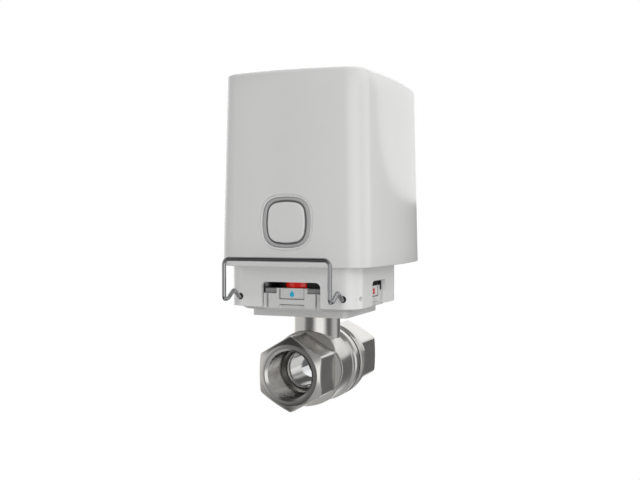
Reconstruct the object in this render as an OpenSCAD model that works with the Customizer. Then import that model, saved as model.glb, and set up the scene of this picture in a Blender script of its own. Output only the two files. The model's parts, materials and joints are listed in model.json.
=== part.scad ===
// Motorised quarter-turn water valve: a two-piece brass ball valve, a plastic mounting
// base clamped on its neck, and a battery actuator held on the base by a wire clip.
// Origin: centre of the inlet, in the plane where its thread starts.
// +Y runs along the pipe from inlet to outlet, +Z up the stem. Shown open.

/* [Valve] */
// Width across the flats of both hexagonal ends
hex_af = 26; // [25.4:0.2:26.6]
// Radius at the rounded corners of the hexagons
hex_corner_r = 14.7; // [14.4:0.1:15]
// Distance from the start of the inlet thread to the stem axis
stem_y = 27.5; // [27:0.1:32]
// Distance from the stem axis to the outlet face
outlet_len = 38.9; // [37:0.1:44]
// Inner radius of the thread in both ports
thread_r = 9.32; // [9:0.02:9.6]
// Depth of the thread in both ports
thread_len = 13.3; // [11:0.1:14]
// Depth of the chamfer at the mouth of each port
mouth_depth = 0.7; // [0.4:0.1:1]
// Radius of the flat ring on the inlet face
face_ring_r = 11.8; // [11:0.1:12.4]
// Radius of the way through the ball
port_r = 7.5; // [6.8:0.1:7.8]
// Radius of the ball
ball_r = 12; // [11.7:0.1:12.2]
// Wall of the barrel round the ball chamber
barrel_wall = 2.9; // [2.6:0.1:3.2]
// Distance from the stem axis forward to the rear end of the inlet hexagon
hex_back = 11.9; // [11:0.1:12.4]
// Length of the slanted faces between the inlet hexagon and the barrel
hex_blend = 2.4; // [1.6:0.1:3]
// Distance from the stem axis to the joint between body and end cap
joint_u = 12.3; // [12:0.1:13]
// Length of the thickened ring at the rear of the body
ring_len = 6.2; // [6:0.1:6.6]
// Extra radius of the ring and of the end cap's collar
ring_step = 0.5; // [0.3:0.1:0.8]
// Width of the hollow in front of the ring
hollow_w = 3.8; // [3.2:0.1:4.2]
// Width of the hollow round the joint between body and end cap
joint_hollow_w = 5.3; // [4.6:0.1:5.6]
// Depth of both hollows
hollow_deep = 0.9; // [0.5:0.1:1]
// Gap that the gasket fills between body and end cap
seal_gap = 0.9; // [0.5:0.1:1]
// Length of the end cap's collar
collar_len = 5.1; // [4.4:0.1:5.6]
// Radius of the ball seats
seat_r = 11.2; // [10.9:0.1:11.4]
// Thickness of a ball seat
seat_t = 2.7; // [2.4:0.1:2.9]
// Radius of the thread between body and end cap
cap_thread_r = 13.15; // [13:0.05:13.3]

/* [Neck and stem] */
// Radius of the neck
neck_r = 10; // [9.4:0.1:10.6]
// Height of the shoulder that carries the mounting base
neck_top = 21.7; // [20.5:0.1:22]
// Radius of the threaded stud above the neck
stud_r = 8; // [7.6:0.1:8.4]
// Height of the stud above the neck shoulder
stud_len = 9.8; // [9.4:0.1:10]
// Radius of the stem
stem_r = 4; // [3.8:0.1:4.2]
// Side of the square at the top of the stem
drive_side = 5.6; // [5.2:0.1:5.8]
// Height of the top of the stem
stem_top = 44; // [43:0.1:44.6]
// Radius of the shoulder that keeps the stem in the body
stem_flange_r = 5.5; // [5.2:0.1:5.8]
// Thickness of the blade that turns the ball
blade_t = 3.4; // [3:0.1:3.8]
// Length of the blade along the ball's slot
blade_len = 9; // [8:0.1:10]

/* [Mounting base] */
// Width of the lower plate
flange_w = 40.5; // [38:0.5:43]
// Depth of the lower plate
flange_d = 38; // [34:0.2:39]
// Thickness of the lower plate
flange_t = 2.9; // [2.4:0.1:3.2]
// Thickness of the upper plate
plate_t = 2.9; // [2.6:0.1:3]
// Width across the flats of the nut on the stud
nut_af = 22; // [21:0.5:23]
// Height of the nut
nut_h = 3.6; // [3:0.1:3.8]
// Height of the top of the label tabs
tab_top = 33.35; // [33:0.05:33.4]
// Half width of the label tabs
tab_half = 11.9; // [11.4:0.1:12]
// Thickness of the label tabs
tab_t = 2.5; // [2:0.1:2.6]
// Half width of the label pocket in a tab
label_half = 5.3; // [4.8:0.1:5.6]
// Depth of the label pocket
label_deep = 0.5; // [0.4:0.1:0.8]
// Width of the corner posts
post_w = 5; // [4.4:0.1:5.2]
// Height of the top of the corner posts
post_top = 33; // [32:0.1:33.4]

/* [Position indicator] */
// Distance from the skirt's front back to the rim of the disc
disc_in = 5.45; // [5.05:0.05:6.45]
// Thickness of the indicator disc
disc_t = 3.2; // [2.8:0.1:3.2]
// Width of the red pointer
pointer_w = 9.4; // [8:0.1:11]
// Distance from the skirt's front back to the pointer's nose
pointer_in = 4.45; // [4.25:0.05:4.85]
// Thickness of the pointer
pointer_t = 2.6; // [2:0.1:2.6]

/* [Lower housing] */
// Width of the skirt round the mounting base
skirt_w = 55; // [54.8:0.1:56.5]
// Depth of the skirt
skirt_d = 52.9; // [52.8:0.1:54]
// Corner radius of the skirt
skirt_r = 7; // [6:0.5:8]
// Wall of the skirt
skirt_wall = 2; // [1.6:0.1:2.1]
// Height of the bottom edge of the skirt
skirt_z = 26; // [25.8:0.1:26.4]
// Half width of the windows at the front and back
window_half = 12.4; // [12.2:0.1:12.6]
// Half width of the windows at the sides
side_window_half = 8.8; // [8.7:0.1:9.5]
// Height of the top of the windows
window_top = 35.8; // [35.4:0.1:36.2]
// Corner radius at the top of the windows
window_r = 2; // [1:0.1:2.5]
// Thickness of the floor of the actuator
floor_t = 2.5; // [2.2:0.1:3]

/* [Cover] */
// Width of the cover at its bottom edge
cover_w = 66.9; // [66:0.1:69]
// Depth of the cover at its bottom edge
cover_d = 84.7; // [84:0.1:88]
// Distance from the stem axis back to the cover's middle
cover_u = 11.05; // [10.5:0.05:12]
// Height of the cover's bottom edge
cover_z = 41.8; // [41.6:0.1:42]
// Height of the cover
cover_h = 75.8; // [74.6:0.2:82]
// Draft of each side from bottom to top
cover_draft = 1.45; // [0.8:0.05:2]
// Corner radius of the cover
cover_r = 10; // [8:0.5:13]
// Outward bow of each side of the cover
cover_bow = 2.1; // [1:0.1:2.6]
// Wall of the cover
cover_wall = 2.4; // [2:0.1:2.6]
// Radius of the top edge
cover_edge = 1.4; // [0.8:0.1:2]

/* [Button] */
// Width of the light ring
ring_w = 20; // [19:0.1:21]
// Height of the light ring
ring_h = 19.5; // [18.5:0.1:20.5]
// Width of the button
button_w = 15.4; // [14.6:0.1:15.6]
// Height of the button
button_h = 15.6; // [14.6:0.1:15.8]
// Height of the button's middle above the cover's bottom edge
button_rise = 17.2; // [16.2:0.1:19.2]
// Corner radius of the button
button_r = 3.8; // [3:0.1:5]
// Corner radius of the light ring
ring_corner_r = 5.6; // [5:0.1:7]
// Gap round the button
button_gap = 0.7; // [0.5:0.05:0.8]
// Travel of the button
button_travel = 0.6; // [0.4:0.1:0.6]

/* [Wire clip] */
// Diameter of the wire
wire_d = 1.7; // [1.5:0.1:1.8]
// Distance from the middle to each prong of the clip
clip_x = 21.6; // [21.4:0.05:21.8]
// Height of the prongs
clip_z = 29.8; // [29.6:0.1:30.2]
// Length of each prong inside the skirt
clip_prong = 9.6; // [8:0.1:10.5]
// Distance from the front of the skirt to the upright legs
clip_reach = 13.8; // [12:0.1:16]
// Height of the middle of the top bar
clip_bar_z = 45.1; // [43:0.1:48]
// Bend radius of the wire
clip_bend = 2.2; // [1.8:0.1:2.4]

/* [Gear train] */
// Module of the gears
gear_m = 1; // [0.98:0.01:1]
// Teeth of the output gear
output_teeth = 36; // [35:1:36]
// Teeth of the small and of the motor pinion
pinion_teeth = 12; // [12:1:12]
// Teeth of the large idler gear
idler_teeth = 28; // [27:1:28]
// Thickness of the gears
gear_t = 5; // [4.6:0.1:5]
// Room between the large idler gear and the plate over it
plate_room = 2.7; // [2.6:0.1:3.7]
// Radius of the motor
motor_r = 11; // [10:0.1:11]
// Length of the motor
motor_len = 28; // [24:0.5:34]

/* [Batteries] */
// Diameter of a cell
cell_d = 17; // [16.6:0.1:17]
// Length of a cell
cell_len = 34.5; // [33:0.1:36]

/* [Hidden] */

// Fits and gaps
run_gap = 0.05;
slip_gap = 0.1;
loose_gap = 0.2;
clear_gap = 0.4;
cut = 1;
weld = 0.1;
thin = 0.01;
big = 20;
circle_n = 72;
small_n = 32;

// Colours
nickel = "silver";
white = "gainsboro";
dark = "dimgray";

// Valve, u is the distance from the stem axis along the pipe
face_u = -stem_y - mouth_depth;
chamber_r = ball_r + clear_gap;
barrel_r = chamber_r + barrel_wall;
seal_in = 0.5;
ring_r = barrel_r + ring_step;
ring_u = joint_u - ring_len;
seal_r = ring_r - hollow_deep - seal_in;
collar_u = joint_u + seal_gap;
cap_hex_u = collar_u + collar_len;
mouth_angle = 40;
mouth_r = thread_r + mouth_depth * tan(mouth_angle);
shoulder_len = thread_r - port_r;
inlet_shoulder_u = -stem_y + thread_len;
outlet_shoulder_u = outlet_len - mouth_depth - thread_len;
seat_in = 8.6;
seat_out = seat_in + seat_t;
chamfer_angle = 30;
hex_chamfer = (hex_corner_r - face_ring_r) * tan(chamfer_angle);
blend_angle = atan((barrel_r + run_gap - hex_af / 2) / hex_blend);

// Stem, measured from the pipe axis upward
ball_flat = 0.5;
ball_top = ball_r - ball_flat;
slot_floor = 1.6;
slot_z = port_r + slot_floor;
stem_flange_t = 2;
flange_z0 = ball_top + slip_gap;
flange_z1 = flange_z0 + stem_flange_t;
washer_t = 0.6;
flange_pocket_z = flange_z1 + washer_t;
oring_z = [17.2, 19.8];
oring_r = 0.65;
oring_ring_r = stem_r + run_gap - oring_r - thin;
stud_top = neck_top + stud_len;
square_rise = 0.5;
square_z = stud_top + square_rise;

// Mounting base
flange_top = neck_top + flange_t;
plate_top = flange_top + plate_t;
plate_w = skirt_w - 2 * skirt_wall - 2 * loose_gap;
plate_d = skirt_d - 2 * skirt_wall - 2 * loose_gap;
plate_r = skirt_r - skirt_wall;
plate_chamfer = 2.4;
tab_front_in = 1.1;
tab_side_in = 1.9;
tab_below = 0.5;
tab_front = skirt_d / 2 - tab_front_in;
tab_side = skirt_w / 2 - tab_side_in;
tab_bottom = skirt_z - tab_below;
side_tab_half = side_window_half - (window_half - tab_half);
tab_root = 3;
label_rim = 1.1;
shoulder_drop = 2.05;
shoulder_z = tab_top - shoulder_drop;
tab_groove_w = 0.9;
tab_groove_in = 1.6;
tab_groove_deep = 1.8;
pocket_rise = 3.5;
pocket_z = tab_bottom + pocket_rise;
ledge_h = 1.6;
ledge_cut = 0.3;
ledge_deep = label_deep + ledge_cut;
label_t = 0.2;
drop_z = 30.9;
drop_r = 0.9;
drop_tip = 1.6;
cross_z = 31.2;
cross_len = 2.8;
cross_w = 0.6;
flange_r = 2;
post_weld = plate_top - weld;
nut_round = 1.2;

// Indicator
disc_z = 33;
disc_r = skirt_d / 2 - disc_in;
pointer_reach = skirt_d / 2 - pointer_in;
nose_r = 7;
pointer_root = 9;
push_washer_r = 5;
push_washer_t = 0.6;
press = 0.02;
hub_hole = drive_side + 2 * run_gap;

// Wire clip, from the skirt's front: straight, hump, toe and heel of each leg
clip_straight = 1.2;
clip_peak = [5.6, 3.1];
clip_toe = [3.4, 0];
clip_heel = 0.3;
clip_arc_n = 5;
wire_n = 12;

// Lower housing
floor_z = cover_z + clear_gap;
floor_top = floor_z + floor_t;
floor_w = cover_w - 2 * cover_wall - 2 * clear_gap;
floor_d = cover_d - 2 * cover_wall - 2 * clear_gap;
floor_r = cover_r - cover_wall;
window_z = skirt_z - cut;
bush_r = 8.6;
bush_z = 39;
bush_boss = 2;
bush_rim = 1.4;
bush_rim_t = 0.8;
hub_r = 7;
hub_z = 37.4;
clip_hole_gap = 0.15;
clip_hole_r = wire_d / 2 + clip_hole_gap;
shaft_seal_rise = 1.6;
shaft_seal_z = bush_z + shaft_seal_rise;
shaft_seal_r = 0.74;
shaft_groove = 1.45;
shaft_groove_h = 1.6;
seal_rise = 0.7;
seal_z = floor_z + seal_rise;
seal_h = 1;

// Cover
cover_top = cover_z + cover_h;
front_u = cover_u - cover_d / 2;
cover_screw_in = 10.95;
cover_screw_x = cover_w / 2 - cover_screw_in;
cover_screw_u = [-18.5, 45];
cover_rib_in = [2.2, 4.2];
cover_post_r = 3.2;
cover_post_h = 12;
cover_rib_t = 2;
cover_screw_len = 9.5;
edge_steps = 4;
screw_r = 1.15;
screw_head_r = 2.3;
screw_head_h = 1.6;

// Gear train
gear_lift = 1.3;
gear_gap = 0.8;
idler_t = gear_t - 1;
output_z = floor_top + gear_lift;
idler_z = output_z + gear_t + gear_gap;
plate_z = idler_z + idler_t + plate_room;
pinion_z = idler_z - clear_gap;
flat_addendum = 0.75;
dedendum = 1.15;
pressure_angle = 20;
flank_steps = 4;
gear_play = 0.12;
idler_hub_r = 3.6;
output_center = gear_m * (output_teeth + pinion_teeth) / 2;
motor_center = gear_m * (idler_teeth + pinion_teeth) / 2;
idler_angle = 60;
idler_pos = [output_center * cos(idler_angle), output_center * sin(idler_angle)];
motor_angle = -90;
motor_pos = [idler_pos[0] + motor_center * cos(motor_angle),
             idler_pos[1] + motor_center * sin(motor_angle)];
gear_plate_t = 2;
gear_plate_top = plate_z + gear_plate_t;
spacer_in = 7.95;
spacer_x = cover_w / 2 - spacer_in;
spacer_u = [-11, 36];
spacer_r = 2.5;
gear_plate_rim = 3.1;
idler_pin_r = 2;
idler_pin_deep = 1.5;
idler_pin_z = floor_top - idler_pin_deep;
shaft_r = 1.5;
shaft_in_motor = 5;
gearhead_len = 10;
motor_can_r = motor_r - clear_gap;
motor_cap_r = 3;
motor_cap_t = 1.8;
motor_nose_r = 3.5;
terminal_x = 5.5;
terminal = [1.8, 0.6, 4];
motor_screw_y = 8;
motor_screw_len = 4.6;
motor_screw_r = 0.98;
small_head_r = 1.8;
switch_box = [8.6, 6, 6];
lever = [0.32, 5, 3.5];
lever_gap = 0.3;
journal_r = 4;
cam_r = 7.5;
cam_w = 6;
cam_top = plate_z - clear_gap;

// Board
board_u = -22;
board_t = 1.6;
board_rise = 2.3;
board_h = 58;
board_z0 = floor_top + board_rise;
board_z1 = board_z0 + board_h;
button_z = cover_z + button_rise;
board_screw_in = 6.5;
board_screw_x = cover_screw_x - board_screw_in;
board_rim = 3;
board_w = 2 * (board_screw_x + board_rim);
board_screw_edge = 3.5;
board_screw_z = [board_z0 + board_screw_edge, board_z1 - board_screw_edge];
board_post_r = 2.4;
board_hole_r = 1.1;
small_screw_r = 0.84;
small_screw_len = 4.5;
small_head_h = 1.2;
button_bow = 0.35;
button_proud = 0.3;
button_u = front_u + draft_at(button_z) - button_proud;
cap_t = 2.3;
nub_r = 1.8;
rim_w = 1.1;
rim_t = 1;
ring_back = 0.25;
ring_t = 4.4;
ring_flange_t = 1;
ring_flange_w = 1.5;
switch_h = 3.5;
switch_side = 6;
switch_bore_r = 1.8;
switch_floor = 1;
plunger_h = switch_h - clear_gap;
plunger_u = board_u - switch_floor - button_travel - loose_gap;
led_r = 9.2;
led = [3.4, 1.8, 2.8];
radio_rise = 33;
radio_z = board_z0 + radio_rise;
radio_board = [18, 0.8, 16];
radio_can = [16, 2.2, 14];
radio_rim = 1;
antenna_drop = 1.6;
antenna_z = board_z1 - antenna_drop;
antenna_in = 4;
antenna_half = board_screw_x - antenna_in;
antenna_strip = [2 * antenna_half, 0.5, 1.2];
antenna_off = 4;
antenna_feed = 6;
buzzer_in = 3.5;
buzzer_rise = 26;
buzzer_pos = [buzzer_in - board_screw_x, board_z0 + buzzer_rise];
buzzer_r = 5;
buzzer_h = 5;
buzzer_hole_r = 1;
plug_x = [-11.5, 2.5];
plug_drop = 11;
plug_z = board_z1 - plug_drop;
plug = [7, 5.5, 6];
plug_wall = 1;

// Batteries
cell_web = 0.6;
cell_pitch = cell_d + cell_web;
cell_nub_r = 3.2;
cell_nub_h = 1.5;
contact_r = 5.5;
cell_front = 21.5;
cell_u = [cell_front, cell_front + cell_pitch];
holder_floor = 2;
contact_t = 0.8;
cell_z = gear_plate_top + holder_floor + contact_t + slip_gap;
holder_rim = 0.8;
holder_w = 2 * (cell_pitch + holder_rim);
holder_r = 3;
holder_below = 4.8;
holder_h = cell_z - gear_plate_top + cell_len - holder_below;
lid_screw_in = 3.2;
lid_screw_x = holder_w / 2 - lid_screw_in;
lid_screw_len = 7;
lid_screw_r = 0.98;
holder_wall_u = (cell_u[0] + cell_u[1]) / 2;
lid_z = cell_z + cell_len + slip_gap + contact_t;
lid_t = 2;

// Places a child at the stem axis, with the pipe axis at height zero
module at_stem() translate([0, stem_y, 0]) children();

// Turns a child's Z axis along +Y and lifts it to distance u from the stem
module along(u) translate([0, stem_y + u, 0]) rotate([-90, 0, 0]) children();

// Cylinder along the pipe axis from u0 to u1
module pipe_cyl(r, u0, u1) along(u0) cylinder(r = r, h = u1 - u0, $fn = circle_n);

// Cone along the pipe axis from u0 to u1
module pipe_cone(r0, r1, u0, u1) along(u0) cylinder(r1 = r0, r2 = r1, h = u1 - u0, $fn = circle_n);

// Hexagonal prism along the pipe axis, with its flats at the sides and rounded corners
module pipe_hex(u0, u1) intersection() {
    along(u0) rotate([0, 0, 30]) cylinder(r = hex_af / 2 / cos(30), h = u1 - u0, $fn = 6);
    pipe_cyl(hex_corner_r, u0 - cut, u1 + cut);
}

// Rectangle with rounded corners, centred
module rounded_rect(w, d, r) {
    square([w, d - 2 * r], center = true);
    square([w - 2 * r, d], center = true);
    for (x = [-1, 1], y = [-1, 1])
        translate([x * (w / 2 - r), y * (d / 2 - r)]) circle(r = r, $fn = circle_n);
}

module rounded_plate(w, d, r, z0, z1) translate([0, 0, z0]) linear_extrude(z1 - z0) rounded_rect(w, d, r);

// Ring of square section round the stem axis
module washer(r_in, r_out, z0, z1) translate([0, 0, z0]) difference() {
    cylinder(r = r_out, h = z1 - z0, $fn = circle_n);
    translate([0, 0, -cut]) cylinder(r = r_in, h = z1 - z0 + 2 * cut, $fn = circle_n);
}

module square_bar(side, z0, z1) translate([-side / 2, -side / 2, z0]) cube([side, side, z1 - z0]);

// Outline of a rounded rectangle whose sides bow outward by b, as a closed list of points
function bow_radius(half, b) = (half * half + b * b) / (2 * b);
function bezier(p, q, r, s, t) =
    pow(1 - t, 3) * p + 3 * pow(1 - t, 2) * t * q + 3 * (1 - t) * t * t * r + t * t * t * s;
function bowed_quarter(w, d, r, b, n) =
    let (rx = bow_radius(d / 2 - r, b), ry = bow_radius(w / 2 - r, b),
         ax = asin((d / 2 - r) / rx), ay = asin((w / 2 - r) / ry),
         side_x = [for (i = [0:n]) [w / 2 - rx + rx * cos(ax * i / n), rx * sin(ax * i / n)]],
         side_y = [for (i = [n:-1:0]) [ry * sin(ay * i / n), d / 2 - ry + ry * cos(ay * i / n)]],
         e0 = side_x[n], e1 = side_y[0], k = 0.39 * norm(e1 - e0),
         c0 = e0 + k * [-sin(ax), cos(ax)], c1 = e1 + k * [cos(ay), -sin(ay)],
         corner = [for (i = [1:2 * n - 1]) bezier(e0, c0, c1, e1, i / (2 * n))])
    concat(side_x, corner, side_y);
function flip(points) = [for (i = [len(points) - 1:-1:0]) points[i]];
function scaled(points, sx, sy) = [for (p = points) [p[0] * sx, p[1] * sy]];
function head(points) = [for (i = [0:len(points) - 2]) points[i]];
function bowed(w, d, r, b, n = 4) =
    let (q = bowed_quarter(w, d, r, b, n))
    concat(head(q), head(flip(scaled(q, -1, 1))), head(scaled(q, -1, -1)), head(flip(scaled(q, 1, -1))));

// Solid through a stack of closed outlines, each with its height
module loft(outlines, heights) {
    n = len(outlines[0]);
    m = len(outlines);
    points = [for (j = [0:m - 1], p = outlines[j]) [p[0], p[1], heights[j]]];
    bottom = [for (i = [0:n - 1]) i];
    top = [for (i = [n - 1:-1:0]) (m - 1) * n + i];
    sides = [for (j = [0:m - 2], i = [0:n - 1])
        let (a = j * n + i, b = j * n + (i + 1) % n) each [[a, a + n, b + n], [a, b + n, b]]];
    polyhedron(points = points, faces = concat([bottom], sides, [top]));
}

// Cover's outline at height z, drawn in by inset
function draft_at(z) = cover_draft * (z - cover_z) / cover_h;
function cover_outline(z, inset) =
    let (d = 2 * draft_at(z) + 2 * inset)
    bowed(cover_w - d, cover_d - d, max(cover_r - inset, 2), cover_bow, 5);

// Involute gear with flat-bottomed gaps, one tooth pointing at angle zero
function involute(base, r) = let (a = acos(base / r)) tan(a) * 180 / PI - a;
function tooth_flank(teeth, side, play) =
    let (rp = gear_m * teeth / 2, rb = rp * cos(pressure_angle), ra = rp + flat_addendum * gear_m,
         half = 90 / teeth - play / rp * 90 / PI, start = max(rb, rp - dedendum * gear_m + run_gap) + thin)
    [for (i = [0:flank_steps]) let (r = start + (ra - start) * i / flank_steps,
        a = side * (half + involute(rb, rp) - involute(rb, r))) [r, a]];
module gear(teeth, z0, z1, phase) {
    rp = gear_m * teeth / 2;
    root = rp - dedendum * gear_m;
    up = tooth_flank(teeth, -1, gear_play);
    down = flip(tooth_flank(teeth, 1, gear_play));
    tooth = concat([[root, up[0][1]]], up, down, [[root, down[flank_steps][1]]]);
    outline = [for (i = [0:teeth - 1], p = tooth)
        let (a = phase + i * 360 / teeth + p[1]) [p[0] * cos(a), p[0] * sin(a)]];
    translate([0, 0, z0]) linear_extrude(z1 - z0) polygon(outline);
}

// Screw with a round head, pointing down from z: shank below, head above
module screw(r, len, head_r, head_h) {
    translate([0, 0, -len]) cylinder(r = r, h = len + 0.01, $fn = small_n);
    difference() {
        cylinder(r = head_r, h = head_h, $fn = small_n);
        for (a = [0, 90]) rotate([0, 0, a])
            translate([-head_r * 0.6, -head_r * 0.13, head_h * 0.5])
                cube([head_r * 1.2, head_r * 0.26, head_h]);
    }
}

// Threaded port turned in one cut: chamfer at the mouth, thread, cone down to the way through
module port_cut(mouth_u, shoulder_u) {
    side = sign(mouth_u);
    far_u = mouth_u + side * cut;
    cone_u = shoulder_u - side * shoulder_len;
    along(0) rotate_extrude($fn = circle_n)
        polygon([[0, far_u], [mouth_r + cut * tan(mouth_angle), far_u],
            [thread_r, mouth_u - side * mouth_depth], [thread_r, shoulder_u], [port_r, cone_u], [0, cone_u]]);
}

// Cutter for a rounded hollow all round the pipe, centred at u in a surface of radius r
module hollow(u, w, r) {
    arc_r = (w * w / 4 + hollow_deep * hollow_deep) / (2 * hollow_deep);
    along(u) rotate_extrude($fn = circle_n)
        translate([r - hollow_deep + arc_r, 0]) circle(r = arc_r, $fn = small_n);
}

// Forged body: inlet hexagon, barrel round the ball, neck and threaded stud
module valve_body() color(nickel) difference() {
    union() {
        intersection() {
            pipe_hex(face_u, -hex_back);
            union() {
                pipe_cone(face_ring_r, hex_corner_r, face_u, face_u + hex_chamfer);
                pipe_cyl(hex_corner_r + cut, face_u + hex_chamfer, -hex_back + cut);
            }
        }
        difference() {
            union() {
                pipe_cyl(barrel_r, -hex_back - weld, ring_u + weld);
                pipe_cyl(ring_r, ring_u, joint_u);
            }
            for (k = [0:5]) along(-hex_back) rotate([0, 0, 60 * k]) translate([hex_af / 2, 0, 0])
                rotate([0, blend_angle, 0]) translate([0, -barrel_r, -barrel_r])
                    cube([barrel_r, 2 * barrel_r, 3 * barrel_r]);
            hollow(ring_u - hollow_w / 2, hollow_w, barrel_r);
            hollow(joint_u, joint_hollow_w, ring_r);
        }
        at_stem() cylinder(r = neck_r, h = neck_top, $fn = circle_n);
        at_stem() cylinder(r = stud_r, h = stud_top, $fn = circle_n);
    }
    port_cut(face_u, inlet_shoulder_u);
    pipe_cyl(port_r, face_u, 0);
    pipe_cyl(seat_r + run_gap, -seat_out, 0);
    pipe_cyl(chamber_r, -seat_in, joint_u - 1);
    pipe_cyl(cap_thread_r + run_gap, seat_in - 1, joint_u + cut);
    at_stem() cylinder(r = stem_flange_r + slip_gap, h = flange_pocket_z, $fn = circle_n);
    at_stem() cylinder(r = stem_r + run_gap, h = stud_top + cut, $fn = circle_n);
}

// Outlet end: nose that holds the rear seat, collar and hexagon
module end_cap() color(nickel) difference() {
    union() {
        pipe_cyl(cap_thread_r, seat_in, collar_u + weld);
        pipe_cyl(ring_r, collar_u, cap_hex_u);
        pipe_hex(cap_hex_u - weld, outlet_len);
    }
    hollow(joint_u, joint_hollow_w, ring_r);
    port_cut(outlet_len, outlet_shoulder_u);
    pipe_cyl(port_r, 0, outlet_len);
    pipe_cyl(seat_r + run_gap, 0, seat_out);
}

// Flat gasket squeezed between body and collar
module joint_seal() color(dark) difference() {
    pipe_cyl(seal_r, joint_u, collar_u);
    pipe_cyl(cap_thread_r + run_gap, joint_u - cut, collar_u + cut);
}

// Chromed ball with a straight way and a slot for the stem's blade
module ball() color(nickel) difference() {
    at_stem() sphere(r = ball_r, $fn = circle_n);
    pipe_cyl(port_r, -ball_r - cut, ball_r + cut);
    at_stem() translate([-ball_r, -ball_r, ball_top]) cube([2 * ball_r, 2 * ball_r, ball_r]);
    at_stem() translate([-blade_t / 2 - run_gap, -ball_r, slot_z])
        cube([blade_t + 2 * run_gap, 2 * ball_r, ball_r]);
}

// Two seats that press on the ball from both sides
module ball_seats() color("whitesmoke") for (side = [0, 180])
    at_stem() rotate([0, 0, side]) difference() {
        translate([0, -seat_out, 0]) rotate([-90, 0, 0]) cylinder(r = seat_r, h = seat_t, $fn = circle_n);
        translate([0, -seat_out - cut, 0]) rotate([-90, 0, 0])
            cylinder(r = port_r, h = seat_t + 2 * cut, $fn = circle_n);
        sphere(r = ball_r + run_gap, $fn = circle_n);
    }

// Stem put in from inside: blade, shoulder, round shaft with two grooves, square drive
module stem() color(nickel) at_stem() difference() {
    union() {
        translate([-blade_t / 2, -blade_len / 2, slot_z + slip_gap])
            cube([blade_t, blade_len, flange_z0 - slot_z]);
        translate([0, 0, flange_z0]) cylinder(r = stem_flange_r, h = flange_z1 - flange_z0, $fn = circle_n);
        translate([0, 0, flange_z0]) cylinder(r = stem_r, h = square_z - flange_z0, $fn = circle_n);
        square_bar(drive_side, square_z - weld, stem_top);
    }
    for (z = oring_z)
        washer(oring_ring_r - oring_r - 2 * thin, stem_r + cut, z - oring_r - run_gap, z + oring_r + run_gap);
}

// Thrust washer over the stem's shoulder
module stem_washer() color("whitesmoke") at_stem()
    washer(stem_r + slip_gap, stem_flange_r, flange_z1 + thin, flange_pocket_z - thin);

// Two O-rings in the stem's grooves
module stem_orings() color("black") at_stem() for (z = oring_z)
    translate([0, 0, z]) rotate_extrude($fn = circle_n)
        translate([oring_ring_r, 0]) circle(r = oring_r, $fn = small_n);

// Label tab at distance u in front of the stem: pillar, label pocket, shoulders and grooves
module label_tab(u, half) {
    back = u - tab_t;
    difference() {
        translate([-half, -u, tab_bottom]) cube([2 * half, tab_t, tab_top - tab_bottom]);
        for (side = [-1, 1]) {
            translate([side > 0 ? label_half + label_rim : -half - cut, -u - cut, shoulder_z])
                cube([half - label_half - label_rim + cut, tab_t + 2 * cut, tab_top]);
            translate([side * (half - tab_groove_in) - tab_groove_w / 2, -u - cut, tab_bottom - cut])
                cube([tab_groove_w, cut + tab_groove_deep, tab_top]);
        }
        translate([-label_half, -u - cut, pocket_z])
            cube([2 * label_half, cut + label_deep, tab_top]);
        translate([-label_half, -u - cut, tab_bottom - cut])
            cube([2 * label_half, cut + ledge_deep, cut + ledge_h]);
    }
    translate([-half, -back, flange_top]) cube([2 * half, tab_root, plate_t]);
}

// Plastic base on the neck: two plates, four drilled corner posts and four label tabs
module mounting_base() color(white) at_stem() difference() {
    union() {
        rounded_plate(flange_w, flange_d, flange_r, neck_top, flange_top + weld);
        difference() {
            union() {
                rounded_plate(plate_w, plate_d, plate_r, skirt_z, plate_top);
                hull() {
                    rounded_plate(plate_w - 2 * plate_chamfer, plate_d - 2 * plate_chamfer, plate_r - 1,
                        flange_top, flange_top + thin);
                    rounded_plate(plate_w, plate_d, plate_r, skirt_z - thin, skirt_z);
                }
            }
            for (side = [-1, 1]) {
                translate([-tab_half, side * tab_front - tab_root, flange_top - cut])
                    cube([2 * tab_half, 2 * tab_root, plate_t + 2 * cut]);
                translate([side * tab_side - tab_root, -side_tab_half, flange_top - cut])
                    cube([2 * tab_root, 2 * side_tab_half, plate_t + 2 * cut]);
            }
        }
        for (a = [0, 180]) rotate([0, 0, a]) label_tab(tab_front, tab_half);
        for (a = [90, 270]) rotate([0, 0, a]) label_tab(tab_side, side_tab_half);
        intersection() {
            rounded_plate(plate_w, plate_d, plate_r, post_weld, post_top);
            for (x = [-1, 1], y = [-1, 1])
                translate([x * clip_x - post_w / 2, y * clip_x - post_w / 2, post_weld])
                    cube([post_w, post_w, post_top - post_weld]);
        }
    }
    translate([0, 0, neck_top - cut]) cylinder(r = stud_r + slip_gap, h = plate_top, $fn = circle_n);
    for (side = [-1, 1]) {
        translate([side * clip_x, 0, clip_z]) rotate([90, 0, 0])
            cylinder(r = clip_hole_r, h = skirt_d, center = true, $fn = small_n);
        translate([0, side * clip_x, clip_z]) rotate([0, 90, 0])
            cylinder(r = clip_hole_r, h = skirt_w, center = true, $fn = small_n);
    }
}

// Thin hexagonal nut that clamps the base on the neck
module base_nut() color(nickel) at_stem() translate([0, 0, plate_top]) difference() {
    intersection() {
        rotate([0, 0, 30]) cylinder(r = nut_af / 2 / cos(30), h = nut_h, $fn = 6);
        cylinder(r = nut_af / 2 + nut_round, h = nut_h, $fn = circle_n);
    }
    translate([0, 0, -cut]) cylinder(r = stud_r + run_gap, h = nut_h + 2 * cut, $fn = circle_n);
}

// Blue water drop inlaid in the front tab: valve open
module label_open() color("deepskyblue") at_stem()
    translate([0, -tab_front + label_deep, drop_z]) rotate([90, 0, 0]) linear_extrude(label_t) {
        circle(r = drop_r, $fn = small_n);
        polygon([drop_r * [-cos(24), sin(24)], drop_r * [cos(24), sin(24)], [0, drop_tip]]);
    }

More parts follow.
